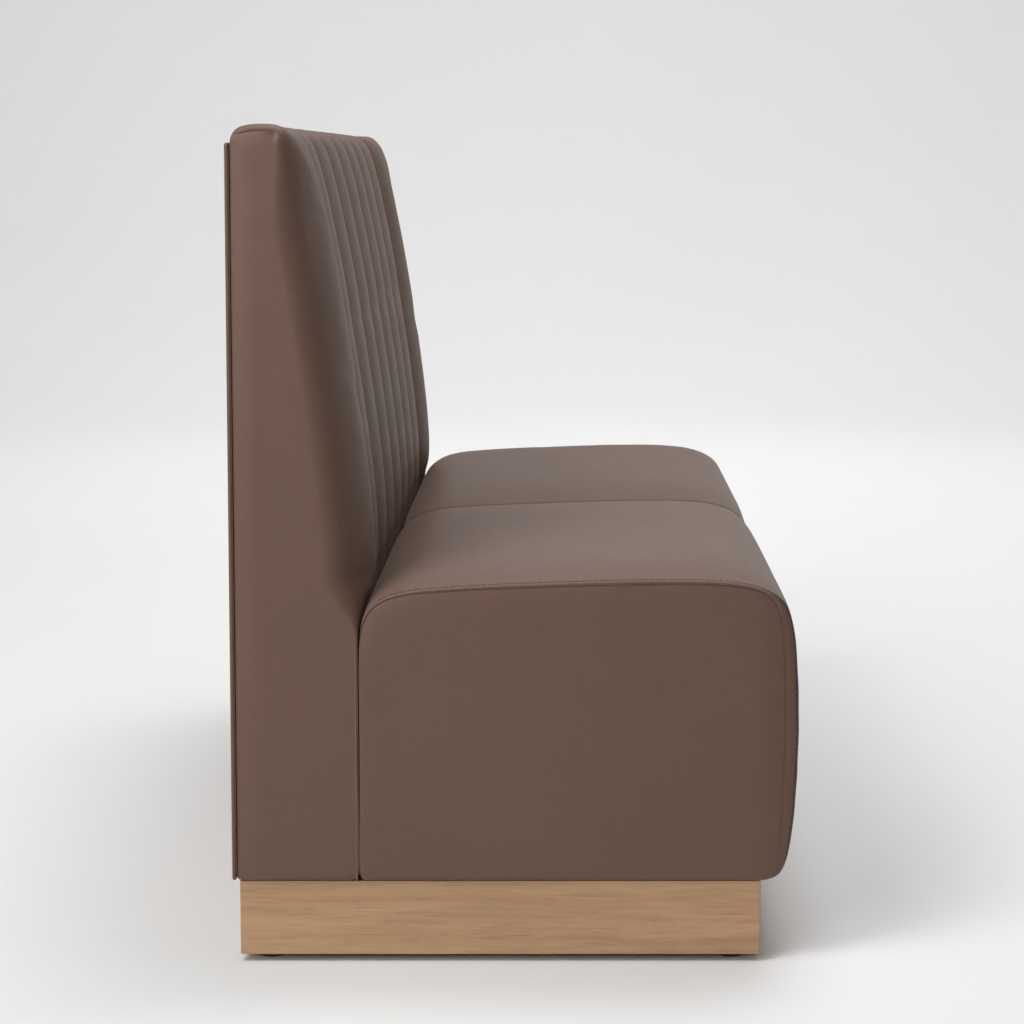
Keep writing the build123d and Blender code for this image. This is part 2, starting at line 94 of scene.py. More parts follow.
def grid_faces(nu, nv, base=0, closed_u=False):
    """Quads of a grid of nu by nv points that are numbered from base."""
    i = np.arange(nu if closed_u else nu - 1)[:, None]
    j = np.arange(nv - 1)[None, :]
    a = base + i * nv + j
    b = base + ((i + 1) % nu) * nv + j
    return np.stack([a, b, b + 1, a + 1], axis=-1).reshape(-1, 4)


def mesh_object(name, verts, faces, smooth_faces=True):
    me = bpy.data.meshes.new(name)
    me.from_pydata([tuple(v) for v in verts], [], [tuple(int(i) for i in f) for f in faces])
    me.validate()
    me.update()
    if smooth_faces:
        me.polygons.foreach_set("use_smooth", [True] * len(me.polygons))
    ob = bpy.data.objects.new(name, me)
    bpy.context.scene.collection.objects.link(ob)
    return ob


def weld(name, parts, sharp=50.0):
    """One closed mesh from parts of (points in millimetres, faces) that share the points along their edges."""
    points, faces, base = [], [], 0
    for p, f in parts:
        p = np.asarray(p, float).reshape(-1, 3)
        points.append(p)
        faces += [[int(i) + base for i in face] for face in f]
        base += len(p)
    points = np.vstack(points)
    key = np.round(points / 2e-4).astype(np.int64)
    _, first, back = np.unique(key, axis=0, return_index=True, return_inverse=True)
    back = back.reshape(-1)
    clean = []
    for f in faces:
        g = [int(back[i]) for i in f]
        g = [g[i] for i in range(len(g)) if g[i] != g[i - 1]]
        if len(set(g)) >= 3:
            clean.append(g)
    ob = mesh_object(name, points[first] * MM, clean)
    bm = bmesh.new()
    bm.from_mesh(ob.data)
    bmesh.ops.recalc_face_normals(bm, faces=bm.faces)
    bm.to_mesh(ob.data)
    bm.free()
    ob.data.set_sharp_from_angle(angle=math.radians(sharp))
    return ob


def coons(bottom, right, top, left):
    """A patch between four runs of points; bottom and top run from left to right, left and right from bottom to top."""
    def along(run):
        s = np.concatenate([[0], np.cumsum(np.linalg.norm(np.diff(run, axis=0), axis=1))])
        return s / s[-1]
    u = (0.5 * (along(bottom) + along(top)))[:, None, None]
    v = (0.5 * (along(left) + along(right)))[None, :, None]
    return (
        (1 - v) * bottom[:, None, :] + v * top[:, None, :] + (1 - u) * left[None, :, :] + u * right[None, :, :]
        - ((1 - u) * (1 - v) * bottom[0] + u * (1 - v) * bottom[-1] + (1 - u) * v * top[0] + u * v * top[-1])
    )


def distance_to(points, line):
    """Shortest distance of each point of a grid from a line of points."""
    flat = points.reshape(-1, 2)
    best = np.full(len(flat), 1e9)
    a, b = line[:-1], line[1:]
    ab = b - a
    ll = np.maximum((ab ** 2).sum(1), 1e-12)
    for i in range(0, len(flat), 2000):
        p = flat[i:i + 2000, None, :]
        t = np.clip(((p - a[None]) * ab[None]).sum(2) / ll[None], 0, 1)
        q = a[None] + t[:, :, None] * ab[None]
        best[i:i + 2000] = np.sqrt(((p - q) ** 2).sum(2)).min(1)
    return best.reshape(points.shape[:2])


def rolled(dist, width, depth):
    """How far a face falls back near an edge with a round of that width: depth at the edge, nothing beyond it."""
    t = np.clip(dist / width, 0, 1)
    return depth * (1 - np.sqrt(np.maximum(1 - (1 - t) ** 2, 0)))


def eased(dist, width, depth):
    """The same with a slow start: depth at the edge, and level at its width."""
    return depth * np.clip(1 - dist / width, 0, 1) ** 2


def ripple(x, y, z, seed=0.0):
    """A small smooth unevenness of stretched upholstery, in about -1..1."""
    a = np.sin(x / 61.0 + y / 97.0 + 1.3 + seed) * np.sin(y / 53.0 - z / 71.0 + 0.7 * seed)
    b = np.sin(x / 139.0 - z / 83.0 + 2.1 + 1.7 * seed) * np.sin(y / 117.0 + 0.4 + seed)
    c = np.sin(x / 27.0 + 0.5 * np.sin(y / 41.0) + seed) * np.sin(z / 31.0 + y / 37.0 + 2.0)
    return 0.5 * a + 0.4 * b + 0.12 * c


def smooth_field(field, times, hold):
    out = field.copy()
    for _ in range(times):
        for axis in (0, 1):
            pad = np.concatenate([out.take([0], axis), out, out.take([-1], axis)], axis)
            n = out.shape[axis]
            out = 0.25 * pad.take(range(n), axis) + 0.5 * out + 0.25 * pad.take(range(2, n + 2), axis)
        out[hold] = 0.0
    return out


def inflate(name, grid, rows, cols, pinned, outward, pressure, cap, spare=0.0, bend=2.0):
    """Cloth under pressure on a coarse copy of a grid. Gives the way that each point of the whole grid moves, in millimetres."""
    coarse = grid[np.ix_(rows, cols)]
    nu, nv = coarse.shape[:2]
    faces = grid_faces(nu, nv)
    e1 = coarse[1:, :-1] - coarse[:-1, :-1]
    e2 = coarse[:-1, 1:] - coarse[:-1, :-1]
    n = np.cross(e1, e2).reshape(-1, 3)
    c = coarse[:-1, :-1].reshape(-1, 3)
    if ((c - np.array(outward)) * n).sum() < 0:
        faces = faces[:, ::-1]
    ob = mesh_object(name, coarse.reshape(-1, 3) * MM, faces)
    rest = coarse.reshape(-1, 3).copy()
    hold = pinned[np.ix_(rows, cols)].reshape(-1)
    group = ob.vertex_groups.new(name="sewn")
    group.add([int(i) for i in np.flatnonzero(hold)], 1.0, "REPLACE")
    mod = ob.modifiers.new("cloth", "CLOTH")
    st = mod.settings
    st.quality = 6
    st.mass = 0.3
    st.air_damping = 4.0
    st.tension_stiffness = 22.0
    st.compression_stiffness = 22.0
    st.shear_stiffness = 9.0
    st.bending_stiffness = bend
    st.use_pressure = True
    st.uniform_pressure_force = pressure
    st.vertex_group_mass = "sewn"
    st.effector_weights.gravity = 0.0
    if spare:
        st.shrink_min = -spare
    mod.collision_settings.use_collision = False
    mod.collision_settings.use_self_collision = False
    mod.point_cache.frame_start = 1
    mod.point_cache.frame_end = 20
    scene = bpy.context.scene
    for f in range(1, 21):
        scene.frame_set(f)
    dg = bpy.context.evaluated_depsgraph_get()
    done = ob.evaluated_get(dg)
    out = np.empty(len(done.data.vertices) * 3)
    done.data.vertices.foreach_get("co", out)
    moved = out.reshape(-1, 3) / MM - rest
    size = np.linalg.norm(moved, axis=1)
    moved *= (np.minimum(size, cap) / np.maximum(size, 1e-9))[:, None]
    moved[hold] = 0.0
    me = ob.data
    bpy.data.objects.remove(ob)
    bpy.data.meshes.remove(me)
    scene.frame_set(1)
    print("cloth", name, nu * nv, "points, moved", round(float(np.percentile(size, 50)), 2),
          round(float(np.percentile(size, 98)), 2), round(float(size.max()), 2))
    moved = moved.reshape(nu, nv, 3)
    wide = np.empty((nu, grid.shape[1], 3))
    for i in range(nu):
        for k in range(3):
            wide[i, :, k] = np.interp(np.arange(grid.shape[1]), cols, moved[i, :, k])
    full = np.empty(grid.shape)
    for j in range(grid.shape[1]):
        for k in range(3):
            full[:, j, k] = np.interp(np.arange(grid.shape[0]), rows, wide[:, j, k])
    return smooth_field(full, 5, pinned)


# ============================================================ outlines, millimetres (y, z)
# seat: outer end seam (first pair) and fullest line at the middle of a module (second pair)
SEAT = [
    (188.0, 107.2, 188.0, 107.2), (195.0, 108.0, 195.0, 108.0), (198.4, 112.6, 198.4, 112.6),
    (198.8, 200.0, 198.8, 200.0), (198.8, 300.0, 198.8, 300.0), (198.8, 392.0, 198.8, 402.0),
    (197.8, 412.0, 198.4, 430.0), (195.4, 430.0, 195.8, 450.5), (190.4, 444.5, 188.6, 465.0),
    (182.0, 456.8, 176.2, 476.0), (165.0, 468.3, 155.6, 485.0), (131.0, 476.4, 131.0, 491.0),
    (88.0, 480.0, 88.0, 495.2), (30.0, 483.2, 30.0, 499.6), (-30.0, 485.2, -30.0, 502.6),
    (-107.0, 487.6, -107.0, 505.4), (-160.0, 488.7, -160.0, 506.6), (-220.0, 489.2, -222.0, 506.6),
    (-251.0, 488.4, -256.0, 504.8), (-281.0, 486.0, -290.0, 500.6), (-300.0, 482.8, -312.0, 494.0),
    (-315.0, 477.4, -331.0, 484.0), (-327.0, 468.0, -346.5, 468.5), (-335.0, 452.5, -354.0, 449.0),
    (-340.3, 424.0, -360.0, 419.0), (-342.8, 372.0, -364.2, 370.0), (-343.7, 315.0, -366.0, 314.0),
    (-342.5, 262.0, -365.0, 262.0), (-340.4, 210.0, -362.0, 208.0), (-338.0, 162.0, -355.8, 158.0),
    (-334.5, 129.0, -348.0, 127.0), (-330.0, 114.5, -339.5, 112.6), (-323.0, 108.7, -328.5, 107.5),
    (-312.0, 107.2, -314.0, 107.0), (-296.0, 107.2, -296.0, 107.0),
]
# back: fullest line over the channels
BACK = [
    (224.0, 107.2), (210.0, 107.4), (202.3, 110.0), (199.8, 117.0), (199.7, 250.0), (199.7, 380.0), (200.1, 430.0),
    (199.5, 457.0), (196.4, 478.0), (194.8, 515.0), (198.1, 569.0), (206.3, 644.0), (216.1, 718.0), (227.3, 793.0),
    (239.5, 867.0), (252.7, 936.0), (264.2, 990.0), (274.8, 1031.0), (282.4, 1049.5), (289.8, 1060.3),
    (298.5, 1066.2), (311.0, 1068.2), (334.0, 1067.2), (346.0, 1063.6), (352.6, 1057.6), (355.6, 1049.0),
    (356.0, 1035.0), (356.0, 1005.0),
]
EDGE_X = 14.0          # width of a module's rolled edge
SEAM = 4.0             # depth of a seam's valley
TOP_SEAM = 5.0         # the same at the top of the back
TUCK = 2.0             # how far a rolled edge turns under before its seam
ROLL = -math.acos(1 - TUCK / EDGE_X)
CROWN_SHARE = 0.14     # share of a module's fullness in its crown; the rest is in its rolled edges and shoulders
STITCH_W = 5.8
WIDTH = HALF - 0.4     # of one module


def out_normals(line, inside):
    """Unit normals of an open (y, z) line, pointing away from the point inside."""
    t = np.gradient(line, axis=0)
    n = np.stack([t[:, 1], -t[:, 0]], axis=1)
    n /= np.maximum(np.linalg.norm(n, axis=1), 1e-9)[:, None]
    mid = len(line) // 2
    if np.dot(n[mid], line[mid] - np.array(inside)) < 0:
        n = -n
    return n


def arc_of(line):
    return np.concatenate([[0], np.cumsum(np.linalg.norm(np.diff(line, axis=0), axis=1))])


def at_arcs(line, arcs):
    s = arc_of(line)
    return np.stack([np.interp(arcs, s, line[:, k]) for k in range(line.shape[1])], axis=1)


def ends_dense(n, power=1.7):
    """n + 1 numbers from 0 to 1, closer together at both ends."""
    t = np.linspace(-1, 1, n + 1)
    return 0.5 + 0.5 * np.sign(t) * (1 - (1 - np.abs(t)) ** power)


# ------------------------------------------------------------ seat modules
N_REAR, N_TOP = 104, 172      # rows up the rear (and down the front), and over the top


def seat_rows():
    dense = spline(SEAT, 4000)
    s = arc_of(dense[:, 2:])
    i1 = int(np.argmin((dense[:, 0] - 190.4) ** 2 + (dense[:, 1] - 444.5) ** 2))
    i2 = int(np.argmin((dense[:, 0] + 323.0) ** 2 + (dense[:, 1] - 472.0) ** 2))
    arcs = np.concatenate([
        s[i1] * np.linspace(0, 1, N_REAR + 1)[:-1],
        s[i1] + (s[i2] - s[i1]) * ends_dense(N_TOP, 1.15)[:-1],
        s[i2] + (s[-1] - s[i2]) * np.linspace(0, 1, N_REAR + 1),
    ])
    return np.stack([np.interp(arcs, s, dense[:, k]) for k in range(4)], axis=1), arcs


def edge_profile(theta):
    """(distance from the end, share of the rise) round a rolled edge."""
    w = EDGE_X * (1 - np.cos(theta))
    h = (np.sin(theta) - math.sin(ROLL)) / (1 - math.sin(ROLL))
    return w, h


def seat_columns():
    theta = np.linspace(ROLL, math.pi / 2, 26)
    w, h = edge_profile(theta)
    mid = EDGE_X + (WIDTH - 2 * EDGE_X) * (0.5 - 0.5 * np.cos(np.linspace(0, math.pi, 92)))[1:-1]
    w = np.concatenate([w, mid, WIDTH - w[::-1]])
    flat = np.ones(len(mid) + len(h))
    return w, np.concatenate([h, flat]), np.concatenate([flat, h[::-1]])


def fullness(w, outer, inner, front, side):
    """Share of a module's fullness at each row and column. The top has broad shoulders, the front a rounder roll."""
    f = np.asarray(front)[:, None]
    soft_outer = 1 - np.clip(1 - (w - 4) / 155.0, 0, 1) ** 2
    soft_inner = 1 - np.clip(1 - (WIDTH - w - 4) / 205.0, 0, 1) ** 2
    top_roll = 0.48 if side < 0 else 0.32
    roll_out, roll_in, base = top_roll + (0.88 - top_roll) * f, 0.18 + 0.05 * f, 0.08 + 0.42 * f
    a = roll_out * outer + (1 - roll_out) * soft_outer
    b = base + (1 - base) * (roll_in * inner + (1 - roll_in) * soft_inner)
    return (1 - CROWN_SHARE) * a * b


def seam_depth(y, z):
    """The end panel falls back further beside the front seam."""
    return SEAM + 2.2 * step(-200.0, -325.0, y) * step(478.0, 440.0, z)


def seat_surface(side):
    """The top, front and rear leather of one module, (x, y, z) on a grid. side is -1 for the left module, 1 for the right."""
    line, arc = seat_rows()
    seam, full = line[:, :2], line[:, 2:]
    w, outer, inner = seat_columns()
    front = step(494, 452, full[:, 1]) * (full[:, 0] < 0)
    n = out_normals(full, (-60.0, 300.0))
    grid = np.empty((len(line), len(w), 3))
    # the edge turns under at the top and front; at the rear and bottom it is plain
    turn = step(0.6, 5.0, np.abs(((full - seam) * n).sum(1)))
    plain = np.where(seam[:, 0] > 0, 2.0, SEAM) + 2.0 * step(125, 108, seam[:, 1]) * (seam[:, 0] > 0)
    deep = seam_depth(seam[:, 0], seam[:, 1])
    k = 26

    def round_edge(tilt, depth, rest):
        """Angle and distance from the end round an edge that starts at that tilt and depth where it turns, and at rest where it is plain."""
        theta = tilt[:, None] + np.linspace(0, 1, k)[None, :] * (math.pi / 2 - tilt[:, None])
        edge_w = EDGE_X * (1 - np.cos(theta))
        first = edge_w[:, :1] / EDGE_X
        begin = (depth[:, None] - EDGE_X * first) / (1 - first) * turn[:, None] + rest[:, None] * (1 - turn[:, None])
        return theta, edge_w + begin * (1 - edge_w / EDGE_X)

    # down the front the outer edge meets its seam as a bevel
    tilt = ROLL * turn + (0.42 - ROLL) * turn * (deep - SEAM) / 2.2
    theta, out_w = round_edge(tilt, deep, plain + deep - SEAM)
    in_w = round_edge(ROLL * turn, np.full(len(line), SEAM), plain)[1]
    wide = np.repeat(w[None, :], len(line), axis=0)
    wide[:, :k] = out_w
    wide[:, -k:] = WIDTH - in_w[:, ::-1]
    outer = np.repeat(outer[None, :], len(line), axis=0)
    outer[:, :k] = (np.sin(theta) - np.sin(tilt)[:, None]) / (1 - np.sin(tilt)[:, None])
    h = fullness(w, outer, inner, front, side)
    grid[:, :, 0] = side * (HALF - wide)
    grid[:, :, 1:] = seam[:, None, :] + (full - seam)[:, None, :] * h[:, :, None]
    live = step(196, 165, full[:, 0]) * step(108, 175, full[:, 1])
    crown = np.clip(1 - np.abs(2 * w / WIDTH - 1) ** 2.2, 0, 1)
    share = CROWN_SHARE
    analytic = (full - seam)[:, None, :] * (share * crown)[None, :, None]
    pinned = np.zeros(grid.shape[:2], bool)
    pinned[:, (w < 9.0) | (w > WIDTH - 9.0)] = True
    pinned[(full[:, 1] < 112.0) | (full[:, 0] > 197.0), :] = True
    rows = sorted(set(range(0, len(line), 4)) | {len(line) - 1})
    cols = [0]
    for j in range(1, len(w)):
        if w[j] - w[cols[-1]] >= 8.5 and j < len(w) - 1:
            cols.append(j)
    cols.append(len(w) - 1)
    move = inflate("seat_cloth", grid, rows, cols, pinned, (side * 380.0, -60.0, 300.0), 4.0, 8.0,
                   spare=0.004 if side < 0 else 0.005)
    out = (move[:, :, 1:] * n[:, None, :]).sum(2)
    middle = np.percentile(out[(live > 0.9)][:, (w > 250) & (w < 510)], 60)
    wanted = share * 18.0
    move *= min(wanted / max(middle, 0.3), 6.0)
    size = np.linalg.norm(move, axis=2)
    move *= (np.minimum(size, 8.0) / np.maximum(size, 1e-9))[:, :, None]
    move[:, :, 0] *= 0.5
    grid += 0.75 * move
    grid[:, :, 1:] += 0.25 * analytic
    inside = step(0, 60, w) * step(0, 60, WIDTH - w)
    amount = 0.6 * ripple(grid[:, :, 0], grid[:, :, 1], grid[:, :, 2], 0.9 if side > 0 else 0.0) * inside[None, :]
    pull = 0.2 * np.sin(arc / 9.5 + 1.2 * np.sin(arc / 61.0)) * (0.6 + 0.4 * np.sin(arc / 133.0))
    for edge in (w, WIDTH - w):
        amount = amount + pull[:, None] * np.exp(-((edge - 17.0) / 12.0) ** 2)[None, :]
        amount = amount - 0.6 * (np.exp(-((edge - STITCH_W) / 1.2) ** 2) * (edge < EDGE_X))[None, :]
    grid[:, :, 1:] += (amount * live[:, None])[:, :, None] * n[:, None, :]
    return grid


def seat_pad(side, grid):
    """One module as a closed form: rolled-over leather, outer end panel, inner end and bottom."""
    R, C = grid.shape[:2]
    n1, n2 = N_REAR, N_REAR + N_TOP
    edge = grid[:, 0, 1:]
    top = edge[n1:n2 + 1]
    s = arc_of(top)
    bottom = edge[0] + (edge[-1] - edge[0]) * (s / s[-1])[:, None]
    g = coons(bottom, edge[n2:][::-1], top, edge[:n1 + 1])
    up = edge[(edge[:, 1] > 124.0)]
    rear = up[: int(np.argmax(up[:, 1] > 420.0)) + 1]
    seam = up[int(np.argmax(up[:, 1] > 415.0)):]
    low = np.vstack([edge[: int(np.argmax(edge[:, 1] > 124.0)) + 1][::-1], bottom[1:-1],
                     edge[len(edge) - int(np.argmax(edge[::-1, 1] > 124.0)) - 1:][::-1]])
    d_seam, d_rear, d_low = distance_to(g, seam), distance_to(g, rear), distance_to(g, low)
    local = seam_depth(g[:, :, 0], g[:, :, 1])
    fall = np.maximum.reduce([
        rolled(d_seam, 2.2, 0.8) + eased(d_seam, 27.0 + 8.0 * (local - SEAM), local - 0.8),
        rolled(d_rear, 3.0, 1.6) + eased(d_rear, 14.0, 0.4),
        rolled(d_low, 6.0, SEAM - 0.6) + eased(d_low, 16.0, 0.6),
    ])
    d = np.minimum.reduce([d_seam, d_rear, d_low])
    puff = 0.35 * ripple(g[:, :, 0] * 0.8, g[:, :, 1], g[:, :, 0], 2.4 + side) * step(4, 60, d)
    cap = np.empty(g.shape[:2] + (3,))
    cap[:, :, 0] = side * (HALF - fall - 0.3 * step(0, 90, d) + puff)
    cap[:, :, 1:] = g
    cap[0, :] = grid[:n1 + 1, 0]
    cap[-1, :] = grid[n2:, 0][::-1]
    cap[:, -1] = grid[n1:n2 + 1, 0]
    inner_x = grid[0, -1, 0]
    cap[1:-1, 0, 0] = grid[0, 0, 0]
    parts = [(grid, grid_faces(R, C)), (cap, grid_faces(*cap.shape[:2]))]
    # inner end: one flat face, with the same points along its bottom
    inner_low = cap[:, 0].copy()
    inner_low[:, 0] = inner_x
    inner_low[0], inner_low[-1] = grid[0, -1], grid[-1, -1]
    ring = np.vstack([grid[:, -1], inner_low[1:-1][::-1]])
    parts.append((ring, [list(range(len(ring)))]))
    # bottom: long strips, the first and last take in the rows of points at their edge
    outer_low = cap[:, 0]
    k = len(outer_low)
    pts = np.vstack([outer_low, inner_low, grid[0], grid[-1]])
    faces = [[i, i + 1, k + i + 1, k + i] for i in range(1, k - 2)]
    faces.append([1] + [2 * k + j for j in range(C)] + [k + 1])
    faces.append([k - 2] + [2 * k + C + j for j in range(C)] + [2 * k - 2])
    parts.append((pts, faces))
    return weld(f"seat_{'left' if side < 0 else 'right'}_pad", parts)


def stitch_places(side, grid, inner):
    """Where the topstitches beside a seam of a module lie: centres, directions and surface normals."""
    w = seat_columns()[0]
    if inner:
        w, grid = WIDTH - w[::-1], grid[:, ::-1]
    j = 13 + int(np.argmax(w[13:] > STITCH_W - 1.2))
    f = (STITCH_W - 1.2 - w[j - 1]) / (w[j] - w[j - 1])
    line = grid[:, j - 1] * (1 - f) + grid[:, j] * f
    across = grid[:, j + 1] - grid[:, j - 2]
    arc = arc_of(line)
    first = int(np.argmax((line[:, 1] < 176) & (line[:, 2] > 380)))
    last = len(line) - 1 - int(np.argmax((line[::-1, 2] > 128) & (line[::-1, 1] < 0)))
    at = np.arange(arc[first] + 4, arc[last], 7.9)
    at = at + 0.25 * np.sin(at * 1.7)
    pos, ahead = at_arcs(line, at), at_arcs(line, at + 1)
    cross = np.stack([np.interp(at, arc, across[:, k]) for k in range(3)], axis=1)
    centres, tangents, normals = [], [], []
    for p, q, c in zip(pos, ahead, cross):
        t = (q - p) / np.linalg.norm(q - p)
        n = np.cross(t, c)
        n /= np.linalg.norm(n)
        if np.dot(n, p - np.array([side * 380.0, -60.0, 300.0])) < 0:
            n = -n
        centres.append(p)
        tangents.append(t)
        normals.append(n)
    return centres, tangents, normals


def threads(name, places, length, radius):
    """Stitches as one mesh: each arches out of the leather and dives back in at both ends."""
    verts, faces = [], []
    sides, rings = 6, 7
    for c, t, n in zip(*places):
        b = np.cross(t, n)
        base = len(verts)
        for i in range(rings):
            f = i / (rings - 1) * 2 - 1
            o = c + t * (f * length / 2) + n * (radius * (0.62 - 1.9 * abs(f) ** 3))
            r = radius * (1 - 0.35 * abs(f) ** 4)
            for k in range(sides):
                a = 2 * math.pi * k / sides
                verts.append(o + (math.cos(a) * b + math.sin(a) * n) * r)
        for i in range(rings - 1):
            for k in range(sides):
                k2 = (k + 1) % sides
                faces.append((base + i * sides + k, base + i * sides + k2, base + (i + 1) * sides + k2,
                              base + (i + 1) * sides + k))
        faces.append(tuple(base + k for k in reversed(range(sides))))
        faces.append(tuple(base + (rings - 1) * sides + k for k in range(sides)))
    return mesh_object(name, np.array(verts) * MM, faces)


def painted_stitch_hole_shades(name, places, offset, radius):
    """The puckered holes at both ends of each stitch: small closed lenses let into the leather, whose near-black colour
    is painted shade for the dark inside of each hole.
    """
    verts, faces = [], []
    sides = 8
    for c, t, n in zip(*places):
        b = np.cross(t, n)
        for end in (-1, 1):
            o = c + t * (end * offset)
            base = len(verts)
            verts.append(o + n * 0.10)
            for r, lift in ((0.75, 0.07), (1.0, -0.05)):
                for k in range(sides):
                    a = 2 * math.pi * k / sides
                    verts.append(o + (math.cos(a) * b * 0.85 + math.sin(a) * t * 1.1) * (radius * r) + n * lift)
            verts.append(o - n * 0.5)
            for k in range(sides):
                k2 = (k + 1) % sides
                faces.append((base, base + 1 + k, base + 1 + k2))
                faces.append((base + 1 + k, base + 1 + sides + k, base + 1 + sides + k2, base + 1 + k2))
                faces.append((base + 1 + sides + k, base + 1 + 2 * sides, base + 1 + sides + k2))
    return mesh_object(name, np.array(verts) * MM, faces)


# ------------------------------------------------------------ back
N_FRONT, N_OVER, N_TAIL = 226, 62, 14
C_CORNER, C_REST, C_CHANNEL = 28, 20, 18


def back_rows():
    dense = spline(BACK, 4000)
    for _ in range(60):
        dense[1:-1] = 0.25 * dense[:-2] + 0.5 * dense[1:-1] + 0.25 * dense[2:]
    s = arc_of(dense)
    i1 = int(np.argmax(dense[:, 1] > 1065.6))
    i2 = int(np.argmax((dense[:, 0] > 350.2) & (dense[:, 1] > 1000)))
    front = np.interp(np.linspace(0, 1, N_FRONT + 1), [0, 0.07, 0.82, 1.0], [0, 26.0, s[i1] - 120.0, s[i1]])
    over = s[i1] + (s[i2] - s[i1]) * ends_dense(N_OVER, 1.5)
    tail = s[i2] + (s[-1] - s[i2]) * np.linspace(0, 1, N_TAIL + 1) ** 1.2
    arcs = np.concatenate([front[:-1], over[:-1], tail])
    return at_arcs(dense, arcs), arcs, s[i1], s[i2]


def back_surface():
    line, arc, a_pinch, a_rear = back_rows()
    n = out_normals(line, (300.0, 600.0))
    y, z = line[:, 0], line[:, 1]
    # the end corner, from the bottom up: tight behind the seat, broad and soft above it, a sewn roll over the top, then a plain edge
    rise = step(424, 500, z)
    over = np.clip(1 - (a_pinch - 2 - arc) / 164.0, 0, 1) ** 2
    sewn = step(a_pinch - 24, a_pinch - 1, arc)
    tail = step(a_rear - 8, a_rear + 10, arc)
    low = step(40, 8, arc)
    depth = 3.4 + 53.1 * rise
    width = 2.2 + 112.0 * rise
    depth = depth * (1 - over) + 9.2 * over
    width = width * (1 - over) + 11.5 * over
    depth = depth * (1 - tail) + 0.25 * tail
    depth = 0.3 + (depth - 0.3) * step(12, 27, arc)
    width = width * (1 - tail) + 4.0 * tail
    roll = -0.32 * sewn * (1 - tail)
    start = 6.0 * tail + 3.0 * low + (TOP_SEAM - 0.6) * sewn * (1 - tail)          # how far inside the end plane the first column starts
    # grooves
    relief = 2.0 + 9.6 * step(425, 505, z) * (1 - 0.2 * step(700, 1000, z)) * (y < 330)
    relief = relief * (1 - 0.35 * step(a_pinch - 60, a_pinch + 40, arc)) * (1 - step(arc[-1] - 62, arc[-1] - 4, arc))
    relief = relief * step(2, 40, arc)
    pinch = (0.8 + 2.8 * step(430, 500, z)) * (1 - step(arc[-1] - 62, arc[-1] - 4, arc)) * step(2, 40, arc)
    # shallower where the line bends over the top, so that the rows do not cross in the grooves
    bend = np.exp(-((arc - a_pinch + 2) / 22.0) ** 2)
    relief = relief * (1 - 0.4 * bend)
    pinch = pinch * (1 - 0.75 * bend)
    X, D = [], []
    for i in range(C_CORNER + 1):
        theta = roll + (math.pi / 2 - roll) * (i / C_CORNER)
        X.append(-HALF + start + width * (1 - np.cos(theta)))
        D.append(depth * (1 - (np.sin(theta) - np.sin(roll)) / (1 - np.sin(roll))))
    first = GROOVES[0]
    for i in range(1, C_REST + 1):
        f = 1 - (1 - i / C_REST) ** 1.5
        x = (-HALF + start + width) * (1 - f) + first * f
        u = np.clip((x - (first - 92.0)) / 92.0, 0, 1)
        X.append(x)
        D.append(relief * u ** 2.4 + pinch * np.exp(-np.abs(x - first) / 4.2))
    for a, b in zip(GROOVES[:-1], GROOVES[1:]):
        for i in range(1, C_CHANNEL + 1):
            t = ends_dense(C_CHANNEL, 1.55)[i]
            x = a * (1 - t) + b * t
            near = min(x - a, b - x)
            X.append(np.full(len(line), x))
            D.append(relief * abs(2 * t - 1) ** 2.4 + pinch * math.exp(-near / 4.2))
    k = C_CORNER + C_REST
    for j in range(k - 1, -1, -1):
        X.append(-X[j])
        D.append(D[j])
    X, D = np.stack(X, axis=1), np.stack(D, axis=1)
    end = HALF - np.abs(X)
    grid = np.empty(X.shape + (3,))
    grid[:, :, 0] = X
    swell = 0.26
    # the end channel is the widest and the fullest
    full = 7.5 * rise * (1 - 0.85 * step(a_pinch - 70, a_pinch + 20, arc)) * (1 - tail)
    D = D - full[:, None] * np.clip(1 - (np.maximum(end - 114.0, 0) / (HALF + GROOVES[0] - 114.0)) ** 2, 0, 1)
    # the corner falls back along the lean of the front, and square to the outline over the top
    ds = np.diff(arc)[:, None]
    run = np.concatenate([np.zeros((1, 2)), np.cumsum(0.5 * (n[1:] + n[:-1]) * ds, axis=0)])
    since = arc - 90.0 * (1 - step(a_pinch - 52, a_pinch + 2, arc)) * step(150, 350, arc) - 0.4
    nd = run - np.stack([np.interp(since, arc, run[:, c]) for c in range(2)], axis=1) + 1e-6 * n
    nd /= np.linalg.norm(nd, axis=1)[:, None]
    grid[:, :, 1] = y[:, None] - nd[:, None, 0] * D
    grid[:, :, 2] = z[:, None] - nd[:, None, 1] * D
    groove_cols = [k + C_CHANNEL * i for i in range(len(GROOVES))]
    pinned = np.zeros(X.shape, bool)
    pinned[:, groove_cols] = True
    pinned |= end < 30.0
    pinned[(z < 425.0) | (arc > a_rear - 20.0), :] = True
    rows = sorted(set(range(0, len(line), 4)) | {len(line) - 1})
    cols = sorted(set(range(0, k, 4)) | {X.shape[1] - 1 - j for j in range(0, k, 4)} | set(groove_cols)
                  | {c + i for c in groove_cols[:-1] for i in range(0, C_CHANNEL, 2)})
    move = inflate("back_cloth", grid, rows, cols, pinned, (0.0, 300.0, 600.0), 4.0, 5.0, spare=0.006, bend=1.0)
    out = (move[:, :, 1:] * n[:, None, :]).sum(2)
    mid_rows = (z > 560) & (z < 1000) & (y < 300)
    mids = [c + C_CHANNEL // 2 for c in groove_cols[:-1]]
    typical = np.median(out[np.ix_(mid_rows, mids)])
    wanted = swell * 9.0
    move *= min(wanted / max(typical, 0.2), 6.0)
    size = np.linalg.norm(move, axis=2)
    move *= (np.minimum(size, 5.0) / np.maximum(size, 1e-9))[:, :, None]
